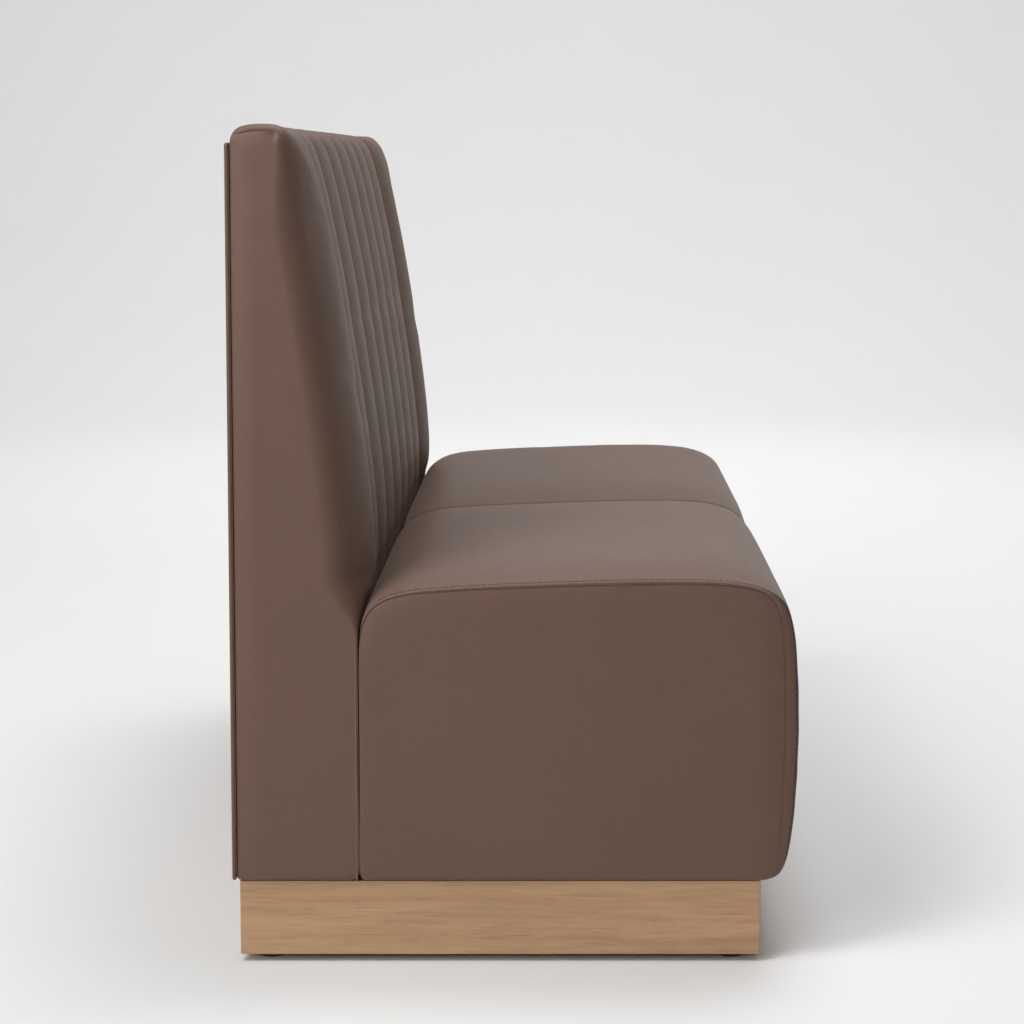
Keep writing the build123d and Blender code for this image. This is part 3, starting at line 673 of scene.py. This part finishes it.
    # the swelling takes the channels to their measured line, so they start that much lower
    lower = wanted * np.clip(1 - (2 * np.abs(((X - GROOVES[0]) / 159.0) % 1.0 - 0.5)) ** 2.4, 0, 1)
    lower = lower * (np.abs(X) < -GROOVES[0]) * step(425, 505, z)[:, None] * step(a_rear - 20, a_rear - 70, arc)[:, None]
    move[:, :, 1:] -= lower[:, :, None] * n[:, None, :]
    grid += move
    live = step(40, 110, end) * step(440, 520, z)[:, None] * step(a_rear, a_rear - 40, arc)[:, None]
    amount = 0.35 * (np.sin(X / 213.0 + 0.8) + 0.9 * ripple(X, y[:, None] + 0 * X, 0.8 * z[:, None] + 0 * X, 4.0)) * live
    # small puckers beside the sewn grooves
    beside = np.zeros_like(X)
    for g in GROOVES:
        beside = np.maximum(beside, np.exp(-((np.abs(X - g) - 8.0) / 8.0) ** 2) * (np.abs(X - g) > 0.01))
    wave = np.sin(arc / 5.6 + 1.5 * np.sin(arc / 47.0))[:, None] * (0.7 + 0.3 * np.sin(X / 60.0))
    amount = amount + 0.24 * wave * beside * live
    # the pinched corner at the front end of the top seam
    amount = amount - 1.2 * np.exp(-(((arc[:, None] - a_pinch + 2) / 6.0) ** 2 + ((end - 7.0) / 7.0) ** 2))
    # the grooves wander a little
    grid[:, :, 0] += (0.7 * np.sin(z / 131.0 + 0.6) * step(470, 560, z))[:, None] * np.cos(X / 83.0) * step(30, 150, end)
    grid[:, :, 1:] += amount[:, :, None] * n[:, None, :]
    return grid


def back_pad():
    """The whole front of the back as a closed form: channels, top, both end panels, rear and bottom."""
    grid = back_surface()
    R, C = grid.shape[:2]
    n1, n2 = N_FRONT, N_FRONT + N_OVER
    parts = [(grid, grid_faces(R, C))]
    lows = []
    for side, col in ((-1, 0), (1, C - 1)):
        edge = grid[:, col, 1:]
        top = edge[n1:n2 + 1]
        # the front row turns under the pad: the end panel's lower front corner is where it turns
        kc = int(np.argmax(edge[:, 1] > 108.4))
        new = N_FRONT - N_TAIL - kc
        down = spline([edge[-1], (356.0, 900.0), (356.0, 600.0), (356.0, 300.0), (356.0, 130.0), (356.0, 113.0),
                       (355.3, 108.7), (352.0, 107.2)], 3000)
        down = resample(down, new + 1, 1 - (1 - np.linspace(0, 1, new + 1)) ** 1.25)
        t = np.linspace(0, 1, N_OVER - kc + 1)[1:, None] ** 0.9
        bottom = np.vstack([edge[: kc + 1][::-1], edge[0] + (down[-1] - edge[0]) * t])
        right = np.vstack([edge[n2:], down[1:]])[::-1]
        g = coons(bottom, right, top, edge[kc:n1 + 1])
        d_top = distance_to(g, top)
        d_rear = distance_to(g, right)
        d_low = distance_to(g, np.vstack([bottom, right[:12]]))
        front = edge[kc:n1 + 1]
        d_front = distance_to(g, front[front[:, 1] < 420.0])
        fall = np.maximum.reduce([
            rolled(d_top, 2.0, 1.3) + eased(d_top, 20.0, TOP_SEAM - 1.3),
            rolled(d_rear, 3.0, 1.0) + eased(d_rear, 32.0, 5.0),
            rolled(d_low, 6.0, 2.6) + eased(d_low, 14.0, 0.4),
        ])
        # it runs level into the soft corner and meets every edge at its depth
        up = front[(front[:, 1] > 420.0)]
        d_up = distance_to(g, up)
        d_side = distance_to(g, front)
        want = HALF - np.abs(grid[kc:n1 + 1, col, 0])
        fall = fall + (want - fall[0])[None, :] * np.exp(-(d_side / 9.0) ** 2)
        want = HALF - np.abs(grid[n1:n2 + 1, col, 0])
        fall = fall + (want - fall[:, -1])[:, None] * np.exp(-(d_top / 5.0) ** 2)
        d = np.minimum.reduce([d_top, d_rear, d_low, d_front, d_up])
        puff = 0.28 * ripple(g[:, :, 0] * 1.1, g[:, :, 0] * 0.7, g[:, :, 1] * 0.55, 5.1 + side) * step(4, 45, d)
        cap = np.empty(g.shape[:2] + (3,))
        cap[:, :, 0] = side * (HALF - fall - 0.3 * step(2, 60, d) + puff)
        cap[:, :, 1:] = g
        cap[0, :] = grid[kc:n1 + 1, col]
        cap[:, -1] = grid[n1:n2 + 1, col]
        cap[-1, new:] = grid[n2:, col][::-1]
        cap[-1, :new, 0] = side * (HALF - 6.0)
        cap[: kc + 1, 0] = grid[: kc + 1, col][::-1]
        cap[kc + 1:-1, 0, 0] = side * (HALF - 3.0 - 3.0 * step(332, 352, cap[kc + 1:-1, 0, 1]))
        parts.append((cap, grid_faces(*cap.shape[:2])))
        # the free edge, from the last row of the grid down the rear and along the bottom to its first row
        lows.append(np.vstack([cap[-1, : new + 1][::-1], cap[kc:-1, 0][::-1]]))
    a, b = lows
    m = len(a)
    pts = np.vstack([a, b, grid[-1], grid[0]])
    faces = [[i, i + 1, m + i + 1, m + i] for i in range(1, m - 2)]
    faces.append([1] + [2 * m + j for j in range(C)] + [m + 1])
    faces.append([m - 2] + [2 * m + C + j for j in range(C)] + [2 * m - 2])
    parts.append((pts, faces))
    return weld("back_pad", parts)


def outside_back():
    """A thin board wrapped in leather: a rounded slab with soft edges, a little full in the middle."""
    x1, z0, z1, r = 760.0, 106.8, 1046.0, 4.5
    corners = []
    for cx, cz, a0 in ((x1 - r, z0 + r, -90), (x1 - r, z1 - r, 0), (-x1 + r, z1 - r, 90), (-x1 + r, z0 + r, 180)):
        for i in range(13):
            a = math.radians(a0 + 90 * i / 12)
            corners.append((cx + r * math.cos(a), cz + r * math.sin(a)))
    corners = np.array(corners)
    loop = []
    for i in range(len(corners)):
        a, b = corners[i], corners[(i + 1) % len(corners)]
        m = max(1, int(np.linalg.norm(b - a) / 9))
        loop += [a + (b - a) * t / m for t in range(m)]
    loop = np.array(loop)
    core = np.stack([np.clip(loop[:, 0], -x1 + r, x1 - r), np.clip(loop[:, 1], z0 + r, z1 - r)], axis=1)
    out = (loop - core) / r
    rows = []
    rings = [(14, 357.4), (5, 357.3), (2, 357.4), (0.8, 357.8), (0.15, 358.7), (0.0, 359.8), (0.2, 360.9), (0.9, 361.9),
             (2.1, 362.5), (4.0, 362.75), (7.0, 362.85), (11.0, 362.9)]
    rings += [(i, 362.95) for i in (16, 22, 30, 40, 52, 66, 82, 100, 120, 145, 175, 210, 250, 290, 330, 370, 410, 445)]
    for inset, y in rings:
        if inset <= r:
            p = core + out * (r - inset)
        else:
            p = np.stack([np.clip(loop[:, 0], -x1 + inset, x1 - inset), np.clip(loop[:, 1], z0 + inset, z1 - inset)], axis=1)
        yy = np.full(len(p), float(y))
        if y > 362.9:
            d = min(inset / 120.0, 1.0)
            yy = yy - 0.5 * d * (0.5 + 0.5 * ripple(p[:, 0] * 0.5, p[:, 1] * 0.6, p[:, 1] * 0.4, 7.0))
        rows.append(np.stack([p[:, 0], yy, p[:, 1]], axis=1))
    grid = np.stack(rows, axis=1)
    m, k = grid.shape[:2]
    parts = [(grid, grid_faces(m, k, closed_u=True)), (grid[:, 0], [list(range(m))[::-1]]), (grid[:, -1], [list(range(m))])]
    return weld("outside_back_leather", parts)


def welt(side):
    """The bead between the back's end panel and the seat's: a fine covered cord, closed at both ends."""
    zs = np.linspace(106.6, 421.0, 420)
    k = 12
    rows = []
    for z in zs:
        r = 1.55 * (1.0 - 0.75 * float(step(402, 421, z)) - 0.4 * float(step(111, 106.6, z))) * (1 + 0.07 * math.sin(z / 0.55))
        y0 = 202.9 + 0.1 * math.sin(z / 33.0)
        x0 = side * (HALF - 0.9)
        rows.append([(x0 + r * math.cos(2 * math.pi * i / k), y0 + r * math.sin(2 * math.pi * i / k), z) for i in range(k)])
    grid = np.array(rows).transpose(1, 0, 2)
    parts = [(grid, grid_faces(k, len(zs), closed_u=True)), (grid[:, 0], [list(range(k))]), (grid[:, -1], [list(range(k))])]
    return weld(f"end_welt_{'left' if side < 0 else 'right'}", parts)


pieces = {}
for side, word in ((-1, "left"), (1, "right")):
    surface = seat_surface(side)
    pieces[f"seat_{word}"] = seat_pad(side, surface)
    for inner, tag in ((False, "outer"), (True, "inner")):
        places = stitch_places(side, surface, inner)
        pieces[f"stitch_{word}_{tag}"] = threads(f"seat_{word}_{tag}_topstitch", places, 5.2, 0.62)
        pieces[f"holes_{word}_{tag}"] = painted_stitch_hole_shades(f"seat_{word}_{tag}_needle_holes", places, 2.85, 1.25)
    pieces[f"welt_{word}"] = welt(side)
pieces["back"] = back_pad()
pieces["outside"] = outside_back()


# ============================================================ materials
def new_material(name):
    m = bpy.data.materials.new(name)
    m.use_nodes = True
    nt = m.node_tree
    nt.nodes.clear()
    out = nt.nodes.new("ShaderNodeOutputMaterial")
    bsdf = nt.nodes.new("ShaderNodeBsdfPrincipled")
    nt.links.new(bsdf.outputs["BSDF"], out.inputs["Surface"])
    return m, nt, bsdf


def node(nt, kind, **props):
    n = nt.nodes.new(kind)
    for k, v in props.items():
        setattr(n, k, v)
    return n


def coords(nt, scale=(1, 1, 1), rotate=(0, 0, 0)):
    tc = node(nt, "ShaderNodeTexCoord")
    mp = node(nt, "ShaderNodeMapping")
    mp.inputs["Scale"].default_value = scale
    mp.inputs["Rotation"].default_value = rotate
    nt.links.new(tc.outputs["Object"], mp.inputs["Vector"])
    return mp.outputs["Vector"]


def noise(nt, vec, scale, detail=4.0, rough=0.55, distort=0.0):
    n = node(nt, "ShaderNodeTexNoise")
    n.inputs["Scale"].default_value = scale
    n.inputs["Detail"].default_value = detail
    n.inputs["Roughness"].default_value = rough
    n.inputs["Distortion"].default_value = distort
    nt.links.new(vec, n.inputs["Vector"])
    return n.outputs["Fac"]


def ramp(nt, fac, stops):
    r = node(nt, "ShaderNodeValToRGB")
    els = r.color_ramp.elements
    while len(els) < len(stops):
        els.new(0.5)
    for e, (p, c) in zip(els, stops):
        e.position = p
        e.color = (*c, 1.0) if len(c) == 3 else c
    nt.links.new(fac, r.inputs["Fac"])
    return r.outputs["Color"]


def grey(v):
    return (v, v, v)


def mix_colour(nt, fac, a, b, mode="MIX"):
    m = node(nt, "ShaderNodeMix", data_type="RGBA", blend_type=mode)
    for value, i in ((fac, 0), (a, 6), (b, 7)):
        if isinstance(value, (int, float)):
            m.inputs[i].default_value = value
        elif isinstance(value, tuple):
            m.inputs[i].default_value = (*value, 1.0)
        else:
            nt.links.new(value, m.inputs[i])
    return m.outputs[2]


def math_node(nt, op, a, b=None):
    m = node(nt, "ShaderNodeMath", operation=op)
    for value, i in ((a, 0), (b, 1)):
        if value is None:
            continue
        if isinstance(value, (int, float)):
            m.inputs[i].default_value = value
        else:
            nt.links.new(value, m.inputs[i])
    return m.outputs[0]


def bump(nt, height, strength, distance, normal=None):
    b = node(nt, "ShaderNodeBump")
    b.inputs["Strength"].default_value = strength
    b.inputs["Distance"].default_value = distance
    nt.links.new(height, b.inputs["Height"])
    if normal is not None:
        nt.links.new(normal, b.inputs["Normal"])
    return b.outputs["Normal"]


def leather(name, colour, rough=0.52, grain=1.0, sheen=0.02):
    """Matte protected leather: pebbled grain, faint mottling, and a roughness that varies a little at random."""
    m, nt, bsdf = new_material(name)
    v = coords(nt)
    large = noise(nt, v, 7.0, 5.0, 0.6)
    medium = noise(nt, v, 55.0, 4.0, 0.6)
    fine = noise(nt, v, 420.0, 3.0, 0.6)
    dark = tuple(c * 0.96 for c in colour)
    light = tuple(min(1, c * 1.04) for c in colour)
    col = ramp(nt, large, [(0.3, dark), (0.72, light)])
    col2 = ramp(nt, medium, [(0.25, grey(0.95)), (0.8, grey(1.04))])
    col = mix_colour(nt, 1.0, col, col2, "MULTIPLY")
    # pebble grain
    vor = node(nt, "ShaderNodeTexVoronoi", feature="DISTANCE_TO_EDGE")
    vor.inputs["Scale"].default_value = 640.0
    warp = node(nt, "ShaderNodeTexNoise")
    warp.inputs["Scale"].default_value = 300.0
    warp.inputs["Detail"].default_value = 2.0
    nt.links.new(v, warp.inputs["Vector"])
    add = node(nt, "ShaderNodeVectorMath", operation="MULTIPLY_ADD")
    add.inputs[1].default_value = (0.0016, 0.0016, 0.0016)
    nt.links.new(warp.outputs["Color"], add.inputs[0])
    nt.links.new(v, add.inputs[2])
    nt.links.new(add.outputs[0], vor.inputs["Vector"])
    cell = ramp(nt, vor.outputs["Distance"], [(0.0, grey(0.0)), (0.16, grey(0.8)), (0.45, grey(1.0))])
    # colour 14% darker along the cell edges, in the creases between the pebbles: painted shade in the grain's creases
    crease_shade = ramp(nt, vor.outputs["Distance"], [(0.0, grey(0.86)), (0.12, grey(1.0))])
    col = mix_colour(nt, 0.55, col, mix_colour(nt, 1.0, col, crease_shade, "MULTIPLY"))
    nt.links.new(col, bsdf.inputs["Base Color"])
    height = mix_colour(nt, 0.35, cell, fine)
    n1 = bump(nt, height, 0.35 * grain, 0.00022)
    n2 = bump(nt, medium, 0.16 * grain, 0.0009, n1)
    n3 = bump(nt, large, 0.10, 0.004, n2)
    nt.links.new(n3, bsdf.inputs["Normal"])
    r = ramp(nt, medium, [(0.2, grey(rough - 0.05)), (0.85, grey(rough + 0.07))])
    nt.links.new(r, bsdf.inputs["Roughness"])
    bsdf.inputs["Specular IOR Level"].default_value = 0.36
    bsdf.inputs["Sheen Weight"].default_value = sheen
    bsdf.inputs["Sheen Roughness"].default_value = 0.45
    bsdf.inputs["Sheen Tint"].default_value = (0.95, 0.85, 0.8, 1.0)
    return m


def oak(name, along, colour=(0.442, 0.266, 0.148)):
    """Oiled oak with the grain along one axis ('x', 'y' or 'z')."""
    m, nt, bsdf = new_material(name)
    long_, across = 1.0, 16.0
    scale = {"x": (long_, across, across), "y": (across, long_, across), "z": (across, across, long_)}[along]
    v = coords(nt, scale)
    flow = noise(nt, v, 2.2, 5.0, 0.55, 0.9)
    bands = noise(nt, v, 7.0, 6.0, 0.62, 0.4)
    fine_v = coords(nt, tuple(s * (1.0 if s == long_ else 6.0) * 2.0 for s in scale))
    fibres = noise(nt, fine_v, 5.5, 5.0, 0.7)
    pore_v = coords(nt, tuple(s * (9.0 if s == long_ else 22.0) for s in scale))
    pore = noise(nt, pore_v, 3.2, 2.0, 0.5)
    base = ramp(nt, flow, [(0.28, tuple(c * 0.82 for c in colour)), (0.5, colour), (0.74, tuple(min(1, c * 1.16) for c in colour))])
    band = ramp(nt, bands, [(0.3, (0.80, 0.76, 0.70)), (0.52, grey(1.0)), (0.8, (1.07, 1.06, 1.05))])
    col = mix_colour(nt, 0.8, base, mix_colour(nt, 1.0, base, band, "MULTIPLY"))
    fib = ramp(nt, fibres, [(0.3, grey(0.86)), (0.7, grey(1.06))])
    col = mix_colour(nt, 0.75, col, mix_colour(nt, 1.0, col, fib, "MULTIPLY"))
    por = ramp(nt, pore, [(0.30, grey(0.55)), (0.40, grey(1.0))])
    col = mix_colour(nt, 0.55, col, mix_colour(nt, 1.0, col, por, "MULTIPLY"))
    nt.links.new(col, bsdf.inputs["Base Color"])
    h = mix_colour(nt, 0.5, fib, por)
    nt.links.new(bump(nt, h, 0.25, 0.0006), bsdf.inputs["Normal"])
    r = ramp(nt, fibres, [(0.2, grey(0.52)), (0.8, grey(0.40))])
    nt.links.new(r, bsdf.inputs["Roughness"])
    bsdf.inputs["Specular IOR Level"].default_value = 0.4
    return m


def simple(name, colour, rough, metallic=0.0, scale=90.0, vary=0.1, bump_mm=0.1, stretch=(1, 1, 1), weave=False):
    m, nt, bsdf = new_material(name)
    v = coords(nt, stretch)
    n = noise(nt, v, scale, 4.0, 0.6)
    if weave:
        w = node(nt, "ShaderNodeTexWave", wave_type="BANDS", bands_direction="X")
        w.inputs["Scale"].default_value = 260.0
        nt.links.new(v, w.inputs["Vector"])
        w2 = node(nt, "ShaderNodeTexWave", wave_type="BANDS", bands_direction="Y")
        w2.inputs["Scale"].default_value = 260.0
        nt.links.new(v, w2.inputs["Vector"])
        n = math_node(nt, "MULTIPLY", math_node(nt, "ADD", w.outputs["Fac"], w2.outputs["Fac"]), 0.5)
    col = ramp(nt, n, [(0.25, tuple(c * (1 - vary) for c in colour)), (0.75, tuple(min(1, c * (1 + vary)) for c in colour))])
    nt.links.new(col, bsdf.inputs["Base Color"])
    r = ramp(nt, n, [(0.2, grey(max(rough - 0.06, 0.05))), (0.8, grey(min(rough + 0.06, 1)))])
    nt.links.new(r, bsdf.inputs["Roughness"])
    nt.links.new(bump(nt, n, 0.4, bump_mm * MM), bsdf.inputs["Normal"])
    bsdf.inputs["Metallic"].default_value = metallic
    return m


def plywood(name):
    m, nt, bsdf = new_material(name)
    v = coords(nt, (3, 3, 30))
    grain = noise(nt, v, 4.0, 5.0, 0.6, 0.5)
    col = ramp(nt, grain, [(0.3, (0.42, 0.29, 0.17)), (0.7, (0.6, 0.45, 0.29))])
    nt.links.new(col, bsdf.inputs["Base Color"])
    r = ramp(nt, grain, [(0.2, grey(0.6)), (0.8, grey(0.75))])
    nt.links.new(r, bsdf.inputs["Roughness"])
    nt.links.new(bump(nt, grain, 0.3, 0.0003), bsdf.inputs["Normal"])
    return m


BROWN = (0.1241, 0.0684, 0.0469)
MAT = {
    "seat_leather": leather("seat_leather", BROWN, sheen=0.12),
    "back_leather": leather("back_leather", BROWN),
    # the welt is the same brown as the other leather, made 1.25 times lighter: a painted highlight along the bead
    "welt_leather": leather("welt_leather", tuple(c * 1.25 for c in BROWN), rough=0.5, grain=0.5),
    "thread": simple("topstitch_thread", (0.05, 0.03, 0.021), 0.6, scale=900, vary=0.25, bump_mm=0.1),
    # near-black lenses at the stitch holes: painted shade for the dark inside of each hole
    "painted_stitch_hole_shade": simple("painted_stitch_hole_shade", (0.02, 0.012, 0.009), 0.9, scale=900, vary=0.3, bump_mm=0.1),
    "oak_x": oak("oak_long_boards", "x"),
    "oak_y": oak("oak_end_boards", "y"),
    "plywood": plywood("plywood"),
    "softwood": simple("softwood", (0.62, 0.45, 0.27), 0.65, scale=30, vary=0.12, bump_mm=0.3, stretch=(1, 8, 8)),
    "hardboard": simple("hardboard", (0.2, 0.12, 0.07), 0.7, scale=400, vary=0.15, bump_mm=0.1),
    "foam": simple("foam", (0.75, 0.68, 0.5), 0.95, scale=700, vary=0.1, bump_mm=0.5),
    "cambric": simple("cambric", (0.018, 0.018, 0.019), 0.9, vary=0.3, bump_mm=0.15, weave=True),
    "zinc_steel": simple("zinc_steel", (0.55, 0.56, 0.57), 0.36, metallic=1.0, scale=160, vary=0.08, bump_mm=0.05),
    "black_nylon": simple("black_nylon", (0.02, 0.02, 0.021), 0.45, scale=500, vary=0.2, bump_mm=0.06),
}


def dress(ob, mat):
    ob.data.materials.clear()
    ob.data.materials.append(mat)


# carried-over CAD pieces
slots = {s["node"]: s["material_slot"] for s in frame["record"]["subparts"]}
for name, ob in NODES.items():
    s = slots[name]
    mat = MAT.get(s)
    if s == "oak":
        mat = MAT["oak_y"] if name in ("plinth_left_board", "plinth_right_board") else MAT["oak_x"]
    if mat is None:
        mat = MAT["plywood"]
    if not ob.material_slots:
        ob.data.materials.append(mat)
    for ms in ob.material_slots:
        ms.material = mat


# ============================================================ hand the pieces over
def hand(ob, mat, nodes=()):
    dress(ob, mat)
    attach(ob, BENCH)
    if nodes:
        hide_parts(*nodes)


for word in ("left", "right"):
    hand(pieces[f"seat_{word}"], MAT["seat_leather"],
         [f"seat_{word}_cover", f"seat_{word}_foam", f"seat_{word}_front_foam", f"seat_{word}_end_panel"])
    for tag in ("outer", "inner"):
        hand(pieces[f"stitch_{word}_{tag}"], MAT["thread"])
        # the stitch holes' near-black lenses are painted shade
        hand(pieces[f"holes_{word}_{tag}"], MAT["painted_stitch_hole_shade"])
    hand(pieces[f"welt_{word}"], MAT["welt_leather"], ["end_welts"] if word == "left" else [])
hand(pieces["back"], MAT["back_leather"],
     ["back_front_cover", "back_channel_foams", "back_side_foams", "back_left_end_panel", "back_right_end_panel"])
hand(pieces["outside"], MAT["back_leather"], ["outside_back_cover"])

# ============================================================ studio
def lathe(name, profile, n=128):
    verts, faces = [], []
    for r, z in profile:
        for i in range(n):
            a = 2 * math.pi * i / n
            verts.append((r * math.cos(a), r * math.sin(a), z))
    for j in range(len(profile) - 1):
        for i in range(n):
            i2 = (i + 1) % n
            faces.append((j * n + i, (j + 1) * n + i, (j + 1) * n + i2, j * n + i2))
    faces.append(tuple(range(n)))
    return mesh_object(name, verts, faces)


R0, RF, TOP = 11.0, 5.0, 6.5
profile = [(0.02, 0.0), (0.5, 0.0), (1.0, 0.0), (2.0, 0.0), (4.0, 0.0), (R0 - RF, 0.0)]
profile += [(R0 - RF + RF * math.sin(a), RF - RF * math.cos(a)) for a in np.linspace(0, math.pi / 2, 40)[1:]]
profile += [(R0, TOP)]
floor = lathe("studio_floor", [(float(a), float(b)) for a, b in profile])
fm, fnt, fb = new_material("studio_paper")
fv = coords(fnt)
fcol = ramp(fnt, noise(fnt, fv, 0.6, 3.0), [(0.2, (0.80, 0.80, 0.795)), (0.8, (0.82, 0.82, 0.815))])
fnt.links.new(fcol, fb.inputs["Base Color"])
fb.inputs["Roughness"].default_value = 0.85
fb.inputs["Specular IOR Level"].default_value = 0.2
floor.data.materials.append(fm)

world = bpy.data.worlds.new("studio")
world.use_nodes = True
bg = world.node_tree.nodes["Background"]
bg.inputs["Color"].default_value = (0.97, 0.98, 1.0, 1.0)
bg.inputs["Strength"].default_value = 0.150
bpy.context.scene.world = world


def area(name, place, look, size, power, colour=(1, 1, 1)):
    light = bpy.data.lights.new(name, "AREA")
    light.shape = "DISK"
    light.size = size
    light.energy = power
    light.color = colour
    ob = bpy.data.objects.new(name, light)
    bpy.context.scene.collection.objects.link(ob)
    ob.location = place
    ob.rotation_euler = (Vector(look) - Vector(place)).to_track_quat("-Z", "Y").to_euler()
    return ob


area("upper_left", (-2.8, 2.4, 3.4), (-0.5, 0.0, 0.5), 1.6, 58.0)
area("left_fill", (-4.8, 2.6, 1.9), (0, 0, 0.5), 2.2, 78.0)
area("overhead", (1.6, -0.9, 5.4), (0.6, -0.4, 0.0), 3.0, 119.0)
area("right_top", (1.0, -2.6, 4.6), (0.3, -0.8, 0.0), 3.0, 12.0)
area("backdrop", (4.0, 0.0, 5.8), (9.5, 0, 1.0), 3.0, 285.0)
area("near_top", (-1.4, 0.9, 2.6), (-0.5, -0.1, 0.5), 1.0, 20.0)
area("top_soft", (-0.3, -0.5, 3.6), (-0.1, -0.2, 0.4), 2.0, 21.0)
area("rear_rim", (-2.2, 4.4, 1.8), (-0.7, 0.2, 0.6), 1.6, 9.0)

# ============================================================ camera
cam_data = bpy.data.cameras.new("camera")
cam_data.sensor_fit = "HORIZONTAL"
cam_data.sensor_width = 36.0
F_PX = 2488.0
PITCH = 4.84
cam_data.lens = F_PX / 1024 * 36.0
cam_data.shift_x = -(566.0 - 512.0) / 1024
cam_data.shift_y = (163.0 + F_PX * math.tan(math.radians(PITCH)) - 512.0) / 1024
cam_data.clip_end = 100.0
cam = bpy.data.objects.new("camera", cam_data)
bpy.context.scene.collection.objects.link(cam)
cam.location = (-3.872, -0.064, 1.0205)
cam.rotation_euler = (math.radians(90 - PITCH), 0.0, math.radians(-90))
bpy.context.scene.camera = cam
bpy.context.scene.view_settings.view_transform = "Standard"
bpy.context.scene.view_settings.look = "None"
bpy.context.scene.view_settings.exposure = 0.0
bpy.context.scene.view_settings.gamma = 1.0

bpy.context.view_layer.update()
